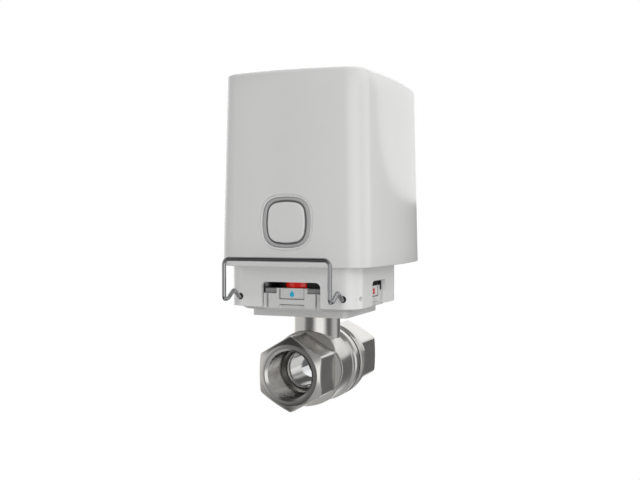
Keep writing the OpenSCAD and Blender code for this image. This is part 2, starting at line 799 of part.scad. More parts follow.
// Red cross inlaid in the right tab: valve closed
module label_closed() color("crimson") at_stem()
    translate([tab_side - label_deep, 0, cross_z]) rotate([90, 0, 90]) linear_extrude(label_t)
        for (a = [45, -45]) rotate(a) square([cross_len, cross_w], center = true);

// Black disc on the stem's square, with a place for the pointer
module indicator_disc() color("black") at_stem() difference() {
    translate([0, 0, disc_z]) cylinder(r = disc_r, h = disc_t, $fn = circle_n);
    translate([0, 0, disc_z + (disc_t - pointer_t) / 2 - slip_gap])
        linear_extrude(disc_t) pointer_outline(slip_gap);
    square_bar(hub_hole, disc_z - cut, disc_z + disc_t + cut);
}

// Pointer seen from above: straight sides and a round nose, toward the inlet
module pointer_outline(gap) {
    intersection() {
        translate([-pointer_w / 2 - gap, -pointer_reach - cut])
            square([pointer_w + 2 * gap, pointer_reach - pointer_root + cut + gap]);
        union() {
            translate([0, -pointer_reach + nose_r]) circle(r = nose_r + gap, $fn = circle_n);
            translate([-pointer_w, -pointer_reach + nose_r]) square([2 * pointer_w, pointer_reach]);
        }
    }
}

// Red pointer snapped into the disc
module position_pointer() color("red") at_stem()
    translate([0, 0, disc_z + (disc_t - pointer_t) / 2]) linear_extrude(pointer_t) pointer_outline(0);

// Push-on washer that holds the disc on the square
module indicator_washer() color(nickel) at_stem() difference() {
    translate([0, 0, disc_z + disc_t + run_gap])
        cylinder(r = push_washer_r, h = push_washer_t, $fn = circle_n);
    square_bar(drive_side + press, disc_z, disc_z + 2 * disc_t);
}

// Route of the clip's wire on one side, from prong tip to the middle of the top bar
function clip_side(s) = let (f = -skirt_d / 2) [
    [s * clip_x, f + clip_prong, clip_z], [s * clip_x, f - clip_straight, clip_z],
    [s * clip_x, f - clip_peak[0], clip_z + clip_peak[1]],
    [s * clip_x, f - clip_reach + clip_toe[0], clip_z + clip_toe[1]],
    [s * clip_x, f - clip_reach, clip_z - clip_heel], [s * clip_x, f - clip_reach, clip_bar_z],
    [0, f - clip_reach, clip_bar_z]];
bend_share = 0.46;
function unit(v) = v / norm(v);
// Arc of n + 1 points that rounds the corner at b between a and c
function bend(a, b, c, r, n) =
    let (p = unit(a - b), q = unit(c - b), half = acos(p * q) / 2,
         reach = min(r / tan(half), bend_share * min(norm(a - b), norm(c - b))),
         radius = reach * tan(half), middle = b + unit(p + q) * radius / sin(half),
         u = unit(b + p * reach - middle), v = b + q * reach - middle, w = unit(v - u * (u * v)))
    [for (i = [0:n]) let (t = (180 - 2 * half) * i / n) middle + radius * (u * cos(t) + w * sin(t))];
function rounded_path(p, r, n) = concat([p[0]],
    [for (i = [1:len(p) - 2]) each bend(p[i - 1], p[i], p[i + 1], r, n)], [p[len(p) - 1]]);
clip_path = rounded_path(concat(head(clip_side(-1)), flip(head(clip_side(1)))), clip_bend, clip_arc_n);

// Round wire swept along a path
module wire(path, d, sides) {
    n = len(path);
    tangent = [for (i = [0:n - 1]) unit(path[min(i + 1, n - 1)] - path[max(i - 1, 0)])];
    points = [for (i = [0:n - 1]) let (e = unit(cross(tangent[i], [1, 1, 0])), g = cross(tangent[i], e))
        for (k = [0:sides - 1]) path[i] + d / 2 * (e * cos(k * 360 / sides) + g * sin(k * 360 / sides))];
    ends = [[for (k = [sides - 1:-1:0]) k], [for (k = [0:sides - 1]) (n - 1) * sides + k]];
    skin = [for (i = [0:n - 2], k = [0:sides - 1])
        let (a = i * sides + k, b = i * sides + (k + 1) % sides)
        each [[a, b, b + sides], [a, b + sides, a + sides]]];
    polyhedron(points = points, faces = concat(ends, skin));
}

// Spring wire clip whose prongs lock the skirt to the base's posts
module locking_clip() color(nickel) at_stem() wire(clip_path, wire_d, wire_n);

// Arched window cut through the skirt, open at the bottom
module window(half, top) {
    translate([-half, 0]) square([2 * half, top - window_r]);
    translate([-half + window_r, 0]) square([2 * (half - window_r), top]);
    for (x = [-1, 1]) translate([x * (half - window_r), top - window_r]) circle(r = window_r, $fn = small_n);
}

// Actuator floor with the skirt that drops over the mounting base
module lower_housing() color(white) at_stem() difference() {
    union() {
        translate([0, cover_u, floor_z]) linear_extrude(floor_t)
            polygon(bowed(floor_w, floor_d, floor_r, cover_bow));
        rounded_plate(skirt_w, skirt_d, skirt_r, skirt_z, floor_z + weld);
    }
    difference() {
        rounded_plate(skirt_w - 2 * skirt_wall, skirt_d - 2 * skirt_wall, plate_r, skirt_z - cut, floor_z);
        translate([0, 0, bush_z]) cylinder(r = bush_r + bush_boss, h = floor_top, $fn = circle_n);
    }
    translate([0, 0, bush_z - cut]) cylinder(r = bush_r + thin, h = floor_top, $fn = circle_n);
    for (a = [0, 180]) rotate([0, 0, a]) translate([0, -skirt_d / 4, window_z]) rotate([90, 0, 0])
        linear_extrude(skirt_d / 2) window(window_half, window_top - window_z);
    for (a = [90, 270]) rotate([0, 0, a]) translate([0, -skirt_w / 4, window_z]) rotate([90, 0, 0])
        linear_extrude(skirt_w / 2) window(side_window_half, window_top - window_z);
    for (side = [-1, 1]) {
        translate([side * clip_x, 0, clip_z]) rotate([90, 0, 0])
            cylinder(r = clip_hole_r, h = skirt_d + 2 * cut, center = true, $fn = small_n);
        translate([0, side * clip_x, clip_z]) rotate([0, 90, 0])
            cylinder(r = clip_hole_r, h = skirt_w + 2 * cut, center = true, $fn = small_n);
    }
    for (x = [-1, 1], u = cover_screw_u) translate([x * cover_screw_x, u, floor_z - cut]) {
        cylinder(r = screw_r + loose_gap, h = floor_t + 2 * cut, $fn = small_n);
        cylinder(r = screw_head_r + clear_gap, h = screw_head_h + cut, $fn = small_n);
    }
    for (x = [-1, 1], u = spacer_u) translate([x * spacer_x, u, floor_z - cut])
        cylinder(r = screw_r, h = floor_t + 2 * cut, $fn = small_n);
    translate([idler_pos[0], idler_pos[1], idler_pin_z])
        cylinder(r = idler_pin_r + thin, h = big, $fn = small_n);
}

// Plastic bearing of the output shaft, pressed into the floor
module output_bush() color("ivory") at_stem() {
    washer(hub_r + run_gap, bush_r, bush_z + run_gap, floor_top + weld);
    washer(hub_r + run_gap, bush_r + bush_rim, floor_top, floor_top + bush_rim_t);
}

// O-ring on the output shaft
module shaft_seal() color("black") at_stem() translate([0, 0, shaft_seal_z]) rotate_extrude($fn = circle_n)
    translate([hub_r + run_gap - shaft_seal_r - thin, 0]) circle(r = shaft_seal_r, $fn = small_n);

// Rubber cord between the cover's wall and the floor
module housing_seal() color("black") at_stem() translate([0, cover_u, seal_z]) difference() {
    linear_extrude(seal_h)
        polygon(bowed(cover_w - 2 * cover_wall - loose_gap, cover_d - 2 * cover_wall - loose_gap,
            floor_r, cover_bow));
    translate([0, 0, -cut]) linear_extrude(seal_h + 2 * cut)
        polygon(bowed(floor_w + 2 * press, floor_d + 2 * press, floor_r, cover_bow));
}

// Deep one-piece cover with posts for its four screws and the board
module cover() color(white) at_stem() difference() {
    union() {
        translate([0, cover_u, 0]) difference() {
            loft(concat([cover_outline(cover_z, 0)],
                    [for (a = [0:90 / edge_steps:90]) cover_outline(cover_top, cover_edge * (1 - cos(a)))]),
                concat([cover_z], [for (a = [0:90 / edge_steps:90]) cover_top - cover_edge * (1 - sin(a))]));
            loft([cover_outline(cover_z - cut, cover_wall), cover_outline(cover_top, cover_wall)],
                [cover_z - cut, cover_top - cover_wall]);
        }
        for (x = [-1, 1]) {
            for (u = cover_screw_u)
                translate([x * cover_screw_x, u, floor_top + run_gap])
                    cylinder(r = cover_post_r, h = cover_post_h, $fn = small_n);
            for (i = [0, 1]) let (start = cover_screw_x + screw_r, end = cover_w / 2 - cover_rib_in[i])
                translate([x > 0 ? start : -end, cover_screw_u[i] - cover_rib_t / 2, floor_top + run_gap])
                    cube([end - start, cover_rib_t, cover_post_h]);
            for (z = board_screw_z) translate([x * board_screw_x, board_u, z]) rotate([90, 0, 0])
                cylinder(r = board_post_r, h = board_u - front_u - cover_wall / 2 - draft_at(z),
                    $fn = small_n);
        }
    }
    for (x = [-1, 1]) {
        for (u = cover_screw_u)
            translate([x * cover_screw_x, u, floor_z]) cylinder(r = screw_r, h = cover_post_h, $fn = small_n);
        for (z = board_screw_z) translate([x * board_screw_x, board_u + cut, z]) rotate([90, 0, 0])
            cylinder(r = small_screw_r + thin, h = small_screw_len + cut, $fn = small_n);
    }
    translate([0, button_u + ring_t + cover_wall, button_z]) rotate([90, 0, 0]) linear_extrude(big)
        polygon(bowed(ring_w + 2 * run_gap, ring_h + 2 * run_gap, ring_corner_r, button_bow));
}

// Four screws driven up through the floor into the cover's posts
module cover_screws() color(nickel) at_stem() for (x = [-1, 1], u = cover_screw_u)
    translate([x * cover_screw_x, u, floor_z + screw_head_h]) rotate([180, 0, 0])
        screw(screw_r, cover_screw_len, screw_head_r, screw_head_h);

// Output gear on its hollow shaft, with the cam that works the limit switches
module output_gear() color("ivory") at_stem() difference() {
    union() {
        translate([0, 0, hub_z]) cylinder(r = hub_r, h = output_z - hub_z + weld, $fn = circle_n);
        gear(output_teeth, output_z, output_z + gear_t, idler_angle);
        translate([0, 0, output_z]) cylinder(r = journal_r, h = gear_plate_top - output_z, $fn = circle_n);
        intersection() {
            translate([0, 0, output_z]) cylinder(r = cam_r, h = cam_top - output_z, $fn = circle_n);
            translate([-cam_r - cut, -cam_w / 2, output_z]) cube([cam_r + cut, cam_w, cam_top - output_z]);
        }
    }
    square_bar(hub_hole, hub_z - cut, stem_top + square_rise);
    washer(hub_r - shaft_groove, hub_r + cut,
        shaft_seal_z - shaft_groove_h / 2, shaft_seal_z + shaft_groove_h / 2);
}

// Idler with a small gear below and a large one above
module idler_gear() color("ivory") at_stem() translate([idler_pos[0], idler_pos[1], 0]) difference() {
    union() {
        gear(pinion_teeth, output_z, idler_z + weld, idler_angle + 180 + 180 / pinion_teeth);
        gear(idler_teeth, idler_z, idler_z + idler_t, motor_angle);
        translate([0, 0, idler_z])
            cylinder(r = idler_hub_r, h = plate_z - lever_gap - idler_z, $fn = circle_n);
    }
    translate([0, 0, output_z - cut])
        cylinder(r = idler_pin_r + run_gap, h = plate_z - output_z + cut, $fn = circle_n);
}

// Steel pin of the idler, from the floor to the gear plate
module idler_pin() color(nickel) at_stem() translate([idler_pos[0], idler_pos[1], idler_pin_z])
    cylinder(r = idler_pin_r, h = gear_plate_top - idler_pin_z, $fn = circle_n);

module motor_pinion() color("goldenrod") at_stem() translate([motor_pos[0], motor_pos[1], 0]) difference() {
    gear(pinion_teeth, pinion_z, pinion_z + gear_t - loose_gap, motor_angle + 180 + 180 / pinion_teeth);
    translate([0, 0, pinion_z - cut]) cylinder(r = shaft_r + thin, h = big, $fn = circle_n);
}

module motor_shaft() color(nickel) at_stem() translate([motor_pos[0], motor_pos[1], pinion_z])
    cylinder(r = shaft_r, h = gear_plate_top + shaft_in_motor - pinion_z, $fn = circle_n);

// Motor with its planetary gearhead, standing on the gear plate
module gear_motor() color(nickel) at_stem() translate([motor_pos[0], motor_pos[1], 0]) difference() {
    union() {
        translate([0, 0, gear_plate_top]) {
            cylinder(r = motor_r, h = gearhead_len, $fn = circle_n);
            cylinder(r = motor_can_r, h = motor_len, $fn = circle_n);
            cylinder(r = motor_cap_r, h = motor_len + motor_cap_t, $fn = circle_n);
            for (x = [-1, 1]) translate([x * terminal_x - terminal[0] / 2, -terminal[1] / 2, motor_len - cut])
                cube([terminal[0], terminal[1], terminal[2] + cut]);
        }
        translate([0, 0, plate_z]) cylinder(r = motor_nose_r, h = gear_plate_t + weld, $fn = circle_n);
    }
    translate([0, 0, plate_z - cut])
        cylinder(r = shaft_r + run_gap, h = gear_plate_t + shaft_in_motor + 2 * cut, $fn = circle_n);
    for (y = [-1, 1]) translate([0, y * motor_screw_y, plate_z])
        cylinder(r = motor_screw_r + thin, h = motor_screw_len + cut, $fn = small_n);
}

module motor_screws() color(nickel) at_stem() for (y = [-1, 1])
    translate([motor_pos[0], motor_pos[1] + y * motor_screw_y, plate_z]) rotate([180, 0, 0])
        screw(motor_screw_r, motor_screw_len, small_head_r, motor_screw_r);

// Plate that carries motor, bearings and battery holder
module gearbox_plate() color(dark) at_stem() difference() {
    translate([-spacer_x - gear_plate_rim, spacer_u[0] - gear_plate_rim, plate_z])
        cube([2 * (spacer_x + gear_plate_rim), spacer_u[1] - spacer_u[0] + 2 * gear_plate_rim, gear_plate_t]);
    translate([0, 0, plate_z - cut]) {
        cylinder(r = journal_r + run_gap, h = big, $fn = circle_n);
        translate(idler_pos) cylinder(r = idler_pin_r + thin, h = big, $fn = circle_n);
        translate(motor_pos) cylinder(r = motor_nose_r + press, h = big, $fn = circle_n);
        for (side = [-1, 1]) {
            translate([motor_pos[0], motor_pos[1] + side * motor_screw_y, 0])
                cylinder(r = motor_screw_r + slip_gap, h = big, $fn = small_n);
            for (u = spacer_u) translate([side * spacer_x, u, 0])
                cylinder(r = screw_r + slip_gap, h = big, $fn = small_n);
        }
    }
}

// Tube spacers between floor and gear plate
module gearbox_spacers() color(nickel) at_stem() for (x = [-1, 1], u = spacer_u)
    translate([x * spacer_x, u, 0]) washer(screw_r + slip_gap, spacer_r, floor_top, plate_z);

module gearbox_screws() color(nickel) at_stem() for (x = [-1, 1], u = spacer_u)
    translate([x * spacer_x, u, gear_plate_top])
        screw(screw_r - press, gear_plate_top - floor_z - clear_gap, screw_head_r, screw_head_h);

// Two switches under the gear plate, one for each end of the quarter turn
module limit_switches() color("black") at_stem() for (a = [0, 90]) rotate([0, 0, a]) {
    translate([-cam_r - lever_gap - lever[0] - switch_box[0], -switch_box[1] / 2, plate_z - switch_box[2]])
        cube(switch_box);
    translate([-cam_r - lever_gap - lever[0] - thin, -lever[1] / 2, plate_z - cut - lever[2]]) cube(lever);
}

// Circuit board behind the front wall
module main_board() color("darkgreen") at_stem() difference() {
    translate([-board_w / 2, board_u, board_z0]) cube([board_w, board_t, board_z1 - board_z0]);
    for (x = [-1, 1], z = board_screw_z) translate([x * board_screw_x, board_u - cut, z]) rotate([-90, 0, 0])
        cylinder(r = board_hole_r, h = board_t + 2 * cut, $fn = small_n);
}

module board_screws() color(nickel) at_stem() for (x = [-1, 1], z = board_screw_z)
    translate([x * board_screw_x, board_u + board_t, z]) rotate([-90, 0, 0])
        screw(small_screw_r, small_screw_len, small_head_r, small_head_h);

// Tact switch on the board, behind the button
module button_switch() color("black") at_stem() difference() {
    translate([-switch_side / 2, board_u - switch_h, button_z - switch_side / 2])
        cube([switch_side, switch_h, switch_side]);
    translate([0, board_u - switch_floor, button_z]) rotate([90, 0, 0])
        cylinder(r = switch_bore_r, h = switch_h, $fn = small_n);
}

module switch_plunger() color("black") at_stem()
    translate([0, plunger_u, button_z]) rotate([90, 0, 0])
        cylinder(r = switch_bore_r - run_gap, h = plunger_h, $fn = small_n);

// Push button: bowed face, retaining rim and a nub for the switch
module button_cap() color(white) at_stem() translate([0, button_u, button_z]) {
    nub = plunger_u - plunger_h - slip_gap - button_u;
    rotate([-90, 0, 0]) linear_extrude(cap_t + weld) polygon(bowed(button_w, button_h, button_r, button_bow));
    translate([0, cap_t, 0]) rotate([-90, 0, 0]) linear_extrude(rim_t)
        polygon(bowed(button_w + 2 * rim_w, button_h + 2 * rim_w, button_r + rim_w, button_bow));
    translate([0, cap_t, 0]) rotate([-90, 0, 0]) cylinder(r = nub_r, h = nub - cap_t, $fn = small_n);
}

// Light guide round the button, with a rim behind the cover's wall
module light_ring() color("darkgray") at_stem() translate([0, button_u + ring_back, button_z]) difference() {
    union() {
        rotate([-90, 0, 0]) linear_extrude(ring_t) polygon(bowed(ring_w, ring_h, ring_corner_r, button_bow));
        translate([0, ring_t - ring_flange_t, 0]) rotate([-90, 0, 0]) linear_extrude(ring_flange_t)
            polygon(bowed(ring_w + 2 * ring_flange_w, ring_h + 2 * ring_flange_w,
                ring_corner_r + ring_flange_w, button_bow));
    }
    translate([0, -cut, 0]) rotate([-90, 0, 0]) linear_extrude(big)
        polygon(bowed(button_w + 2 * button_gap, button_h + 2 * button_gap,
            button_r + button_gap, button_bow));
    translate([0, cap_t - ring_back - loose_gap, 0]) rotate([-90, 0, 0]) linear_extrude(ring_t)
        polygon(bowed(button_w + 2 * rim_w + 2 * loose_gap, button_h + 2 * rim_w + 2 * loose_gap,
            button_r + rim_w + loose_gap, button_bow));
}

// Light-emitting diodes round the switch
module status_leds() color("snow") at_stem() for (a = [0:90:270])
    translate([led_r * cos(a) - led[0] / 2, board_u - led[1], button_z + led_r * sin(a) - led[2] / 2])
        cube(led);

// Shielded radio module on the board
module radio_module() color(nickel) at_stem() {
    translate([-radio_board[0] / 2, board_u - radio_board[1], radio_z]) cube(radio_board);
    translate([-radio_can[0] / 2, board_u - radio_board[1] + weld - radio_can[1], radio_z + radio_rim])
        cube(radio_can);
}

// Strip antenna along the top of the board
module antenna() color("goldenrod") at_stem() {
    translate([-antenna_half, board_u - antenna_off, antenna_z]) cube(antenna_strip);
    for (x = [0, antenna_feed]) translate([x - antenna_half, board_u - antenna_off, antenna_z])
        cube([antenna_strip[2], antenna_off, antenna_strip[2]]);
}

module buzzer() color("black") at_stem() translate([buzzer_pos[0], board_u, buzzer_pos[1]]) rotate([90, 0, 0])
    difference() {
        cylinder(r = buzzer_r, h = buzzer_h, $fn = circle_n);
        translate([0, 0, buzzer_h - buzzer_hole_r]) cylinder(r = buzzer_hole_r, h = buzzer_h, $fn = small_n);
    }

// Plugs for the motor and battery leads on the back of the board
module board_connectors() color("whitesmoke") at_stem() for (x = plug_x)
    translate([x, board_u + board_t, plug_z]) difference() {
        cube(plug);
        translate(plug_wall * [1, 1, 1])
            cube([plug[0] - 2 * plug_wall, plug[1] - 2 * plug_wall, plug[2]]);
    }

// Four-cell holder on the gear plate
module battery_holder() color("black") at_stem() difference() {
    translate([0, holder_wall_u, 0])
        rounded_plate(holder_w, holder_w, holder_r, gear_plate_top, gear_plate_top + holder_h);
    for (x = [-0.5, 0.5], u = cell_u) translate([x * cell_pitch, u, gear_plate_top + holder_floor])
        cylinder(r = cell_d / 2 + slip_gap, h = 2 * cell_len, $fn = circle_n);
}

module batteries() color("orange") at_stem() for (x = [-0.5, 0.5], u = cell_u)
    translate([x * cell_pitch, u, cell_z]) {
        cylinder(r = cell_d / 2, h = cell_len - cell_nub_h, $fn = circle_n);
        cylinder(r = cell_nub_r, h = cell_len, $fn = small_n);
    }

// Spring plates under and over each cell
module battery_contacts() color("goldenrod") at_stem() for (x = [-0.5, 0.5], u = cell_u)
    for (z = [gear_plate_top + holder_floor + run_gap, lid_z - contact_t])
        translate([x * cell_pitch, u, z]) cylinder(r = contact_r, h = contact_t - run_gap, $fn = small_n);

// Lid over the cells
module battery_lid() color("black") at_stem() difference() {
    translate([0, holder_wall_u, 0]) rounded_plate(holder_w, holder_w, holder_r, lid_z, lid_z + lid_t);
    for (x = [-1, 1]) translate([x * lid_screw_x, holder_wall_u, lid_z - cut])
        cylinder(r = lid_screw_r + press, h = lid_t + 2 * cut, $fn = small_n);
}

module lid_screws() color(nickel) at_stem() for (x = [-1, 1])
    translate([x * lid_screw_x, holder_wall_u, lid_z + lid_t])
        screw(lid_screw_r, lid_screw_len, small_head_r, small_head_h);

valve_body();
end_cap();
joint_seal();
ball();
ball_seats();
stem();
stem_washer();
stem_orings();
mounting_base();
base_nut();
label_open();
label_closed();
indicator_disc();
position_pointer();
indicator_washer();
locking_clip();
lower_housing();
output_bush();
shaft_seal();
housing_seal();
cover();
cover_screws();
output_gear();
idler_gear();
idler_pin();
motor_pinion();
motor_shaft();
gear_motor();
motor_screws();
gearbox_plate();
gearbox_spacers();
gearbox_screws();
limit_switches();
main_board();
board_screws();
button_switch();
switch_plunger();
button_cap();
light_ring();
status_leds();
radio_module();
antenna();
buzzer();
board_connectors();
battery_holder();
batteries();
battery_contacts();
battery_lid();
lid_screws();
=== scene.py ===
import json
import math

import bmesh
import bpy
from mathutils import Matrix, Vector

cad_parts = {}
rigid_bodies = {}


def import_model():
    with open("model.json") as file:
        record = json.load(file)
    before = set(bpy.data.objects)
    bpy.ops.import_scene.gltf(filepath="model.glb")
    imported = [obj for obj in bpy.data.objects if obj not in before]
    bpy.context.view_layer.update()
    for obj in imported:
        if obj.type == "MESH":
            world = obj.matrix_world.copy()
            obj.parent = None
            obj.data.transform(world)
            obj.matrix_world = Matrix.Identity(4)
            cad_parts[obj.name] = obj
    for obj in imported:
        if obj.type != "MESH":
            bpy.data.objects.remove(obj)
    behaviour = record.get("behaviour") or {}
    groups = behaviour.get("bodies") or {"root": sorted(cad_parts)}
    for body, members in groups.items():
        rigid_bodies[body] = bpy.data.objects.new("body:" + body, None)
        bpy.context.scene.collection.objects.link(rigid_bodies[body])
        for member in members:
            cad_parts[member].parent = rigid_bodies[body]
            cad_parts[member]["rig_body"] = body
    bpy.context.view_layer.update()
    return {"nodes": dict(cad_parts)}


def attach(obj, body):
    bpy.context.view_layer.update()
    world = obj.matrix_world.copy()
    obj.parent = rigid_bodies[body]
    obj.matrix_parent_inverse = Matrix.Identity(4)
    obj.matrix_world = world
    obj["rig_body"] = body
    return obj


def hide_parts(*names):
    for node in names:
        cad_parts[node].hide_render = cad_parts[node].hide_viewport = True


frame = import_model()
nodes = frame["nodes"]
scene = bpy.context.scene

# Camera, floor and light
# A studio picture on white: the camera stands low and to the right of the inlet,
# a pale floor lies well under the valve, and tall soft panels stand round it.
scene.view_settings.view_transform = "Standard"

# Where the camera stands, in metres, and the right, up and back axes of its view
LENS_MM = 50.0
CAMERA_PLACE = (0.1378, -0.3138, 0.0584)
CAMERA_RIGHT = (0.9289, 0.3702, 0.0)
CAMERA_UP = (-0.00672, 0.01686, 0.99984)
CAMERA_BACK = (0.37014, -0.92875, 0.01815)

camera_data = bpy.data.cameras.new("camera")
camera_data.lens = LENS_MM
camera_data.sensor_width = 36.0
camera_data.clip_start = 0.01
camera = bpy.data.objects.new("camera", camera_data)
scene.collection.objects.link(camera)
turn = Matrix((CAMERA_RIGHT, CAMERA_UP, CAMERA_BACK)).transposed()
camera.matrix_world = Matrix.Translation(CAMERA_PLACE) @ turn.to_4x4()
scene.camera = camera


def linear(colour):
    """Turns an sRGB hex colour into linear RGBA."""
    parts = [int(colour[i:i + 2], 16) / 255 for i in (1, 3, 5)]
    return tuple(c / 12.92 if c <= 0.04045 else ((c + 0.055) / 1.055) ** 2.4 for c in parts) + (1.0,)


def put(tree, kind, settings=None, inputs=None):
    """Adds one node, sets its options, and fills or joins its inputs."""
    node = tree.nodes.new("ShaderNode" + kind)
    for name, value in (settings or {}).items():
        setattr(node, name, value)
    for name, value in (inputs or {}).items():
        if isinstance(value, bpy.types.NodeSocket):
            tree.links.new(value, node.inputs[name])
        else:
            node.inputs[name].default_value = value
    return node


# Brightness of the studio by compass angle in degrees, 0 along +X and 90 along +Y. PANELS stand
# at eye level, UPPER is what hangs over them, and LOWER is the dim room under them.
PANELS = [(-180, 0.8), (-124, 0.8), (-117, 0.2), (-84, 0.15), (-65, 1.4), (-34, 1.4), (-14, 0.17), (4, 0.17),
          (24, 0.72), (46, 0.72), (58, 0.16), (108, 0.16), (114, 1.7), (168, 1.7), (176, 0.8), (180, 0.8)]
UPPER = [(-180, 0.5), (-150, 0.06), (-84, 0.06), (-74, 0.4), (-27, 0.4), (-15, 0.9), (40, 0.9), (55, 1.25),
         (112, 1.25), (130, 0.9), (180, 0.5)]
LOWER = [(-180, 0.5), (-150, 0.08), (-85, 0.08), (-70, 0.5), (30, 0.5), (60, 0.2), (84, 0.2), (94, 1.0),
         (109, 1.0), (118, 0.3), (180, 0.5)]
# A high lamp lights what is matt, and a card keeps its mirror image off what is polished.
FRONT_LAMP = [(-84, 0.0), (-74, 1.6), (-27, 1.6), (-15, 0.0)]
# The panel behind has a rounded lower left corner, which shows in the cover's side.
BACK_PANEL = [(50, 0.0), (56, 0.8), (110, 0.8), (116, 0.0)]
BACK_SIDE, BACK_FOOT = 0.99, 0.015          # its left edge in radians, and the height of its lower edge
BACK_ROUND, BACK_FADE = 0.0075, 0.001       # how far the corner is rounded off, and how softly it ends
# Heights, as the sine of the angle above the horizon, between which one list goes over to the next
UPPER_FROM, UPPER_FULL = 0.18, 0.35
LOWER_FROM, LOWER_FULL = -0.24, -0.42
BOUNCE = 0.5            # even light that comes up from the room, without a mirror image

world = bpy.data.worlds.new("studio")
scene.world = world
world.use_nodes = True
sky = world.node_tree
sky.nodes.clear()
axes = put(sky, "SeparateXYZ", inputs={0: put(sky, "TexCoord").outputs["Generated"]})
compass = put(sky, "Math", {"operation": "ARCTAN2"}, {0: axes.outputs["Y"], 1: axes.outputs["X"]})
place = put(sky, "MapRange", inputs={"Value": compass.outputs[0], "From Min": -math.pi, "From Max": math.pi})


def panels_round(stops):
    """Brightness by compass angle, from one of the lists above."""
    node = put(sky, "ValToRGB", inputs={"Fac": place.outputs[0]})
    marks = node.color_ramp.elements
    marks.remove(marks[1])
    marks[0].position, marks[0].color = (stops[0][0] + 180) / 360, (stops[0][1],) * 3 + (1,)
    for angle, level in stops[1:]:
        marks.new((angle + 180) / 360).color = (level,) * 3 + (1,)
    return node.outputs[0]


def by_height(first, full, below, above):
    """Goes over from one brightness to another between two heights."""
    step = put(sky, "MapRange", {"interpolation_type": "SMOOTHSTEP"},
               {"Value": axes.outputs["Z"], "From Min": first, "From Max": full})
    mixed = put(sky, "Mix", {"data_type": "FLOAT"}, {"Factor": step.outputs[0], "A": below, "B": above})
    return mixed.outputs[0]


from_side = put(sky, "Math", {"operation": "SUBTRACT"}, {0: compass.outputs[0], 1: BACK_SIDE})
from_foot = put(sky, "Math", {"operation": "SUBTRACT"}, {0: axes.outputs["Z"], 1: BACK_FOOT})
edge = put(sky, "Math", {"operation": "MULTIPLY"}, {0: from_side.outputs[0], 1: from_foot.outputs[0]})
above = put(sky, "MapRange", {"interpolation_type": "SMOOTHSTEP"},
            {"Value": edge.outputs[0], "From Min": BACK_ROUND - BACK_FADE,
             "From Max": BACK_ROUND + 2.5 * BACK_FADE})
back_light = put(sky, "Math", {"operation": "MULTIPLY"}, {0: above.outputs[0], 1: panels_round(BACK_PANEL)})
level_light = put(sky, "Math", {"operation": "ADD"}, {0: panels_round(PANELS), 1: back_light.outputs[0]})
ray = put(sky, "LightPath")
lamp = put(sky, "Math", {"operation": "MULTIPLY_ADD"},
           {0: ray.outputs["Is Diffuse Ray"], 1: panels_round(FRONT_LAMP), 2: panels_round(UPPER)})
upper_light = by_height(UPPER_FROM, UPPER_FULL, level_light.outputs[0], lamp.outputs[0])
lower_light = put(sky, "Mix", {"data_type": "FLOAT"},
                  {"Factor": ray.outputs["Is Diffuse Ray"], "A": panels_round(LOWER), "B": BOUNCE})
all_light = by_height(LOWER_FULL, LOWER_FROM, lower_light.outputs[0], upper_light)
lit = put(sky, "Background", inputs={"Color": all_light})
seen = put(sky, "Background", inputs={"Color": (1, 1, 1, 1), "Strength": 1.0})
which = put(sky, "MixShader", inputs={0: ray.outputs["Is Camera Ray"], 1: lit.outputs[0], 2: seen.outputs[0]})
put(sky, "OutputWorld", inputs={"Surface": which.outputs[0]})


def around(count):
    """Angles of points spaced evenly round a circle."""
    return [math.tau * i / count for i in range(count)]


FLOOR_Z, FLOOR_R, FLOOR_SIDES = -0.6, 0.28, 64
floor_mesh = bpy.data.meshes.new("studio_floor")
floor_mesh.from_pydata([(FLOOR_R * math.cos(a), FLOOR_R * math.sin(a), FLOOR_Z) for a in around(FLOOR_SIDES)],
                       [], [list(range(FLOOR_SIDES))])
floor = bpy.data.objects.new("studio_floor", floor_mesh)
scene.collection.objects.link(floor)
paper = bpy.data.materials.new("matt_white_backdrop_paper")
paper.use_nodes = True
tree = paper.node_tree
on_paper = put(tree, "TexCoord").outputs["Object"]
fibres = put(tree, "TexNoise", inputs={"Vector": on_paper, "Scale": 900.0, "Detail": 4.0})
shade = put(tree, "MapRange", inputs={"Value": fibres.outputs[0], "To Min": 0.6, "To Max": 0.64})
tree.links.new(shade.outputs[0], tree.nodes["Principled BSDF"].inputs["Base Color"])
tree.nodes["Principled BSDF"].inputs["Roughness"].default_value = 0.9
floor.data.materials.append(paper)

# Valve body and end cap
# Two forged brass pieces, turned and nickel plated: the body has the inlet hexagon, the barrel
# round the ball and the neck, and the end cap screws in from behind with the outlet hexagon.
MM = 0.001
STEM_Y = 27.5           # from the start of the inlet thread to the stem's axis, which sizes are given from
AROUND = 240            # points round a turned form
HAZE_MM, MARK_DEPTH_MM = 6.0, 0.02      # width of the clouds in a metal's polish, and depth of its tool marks


def finish(name):
    """Starts a material and gives its node tree, its shader and the piece's own coordinates."""
    material = bpy.data.materials.new(name)
    material.use_nodes = True
    nodes_of = material.node_tree
    return material, nodes_of, nodes_of.nodes["Principled BSDF"], put(nodes_of, "TexCoord").outputs["Object"]


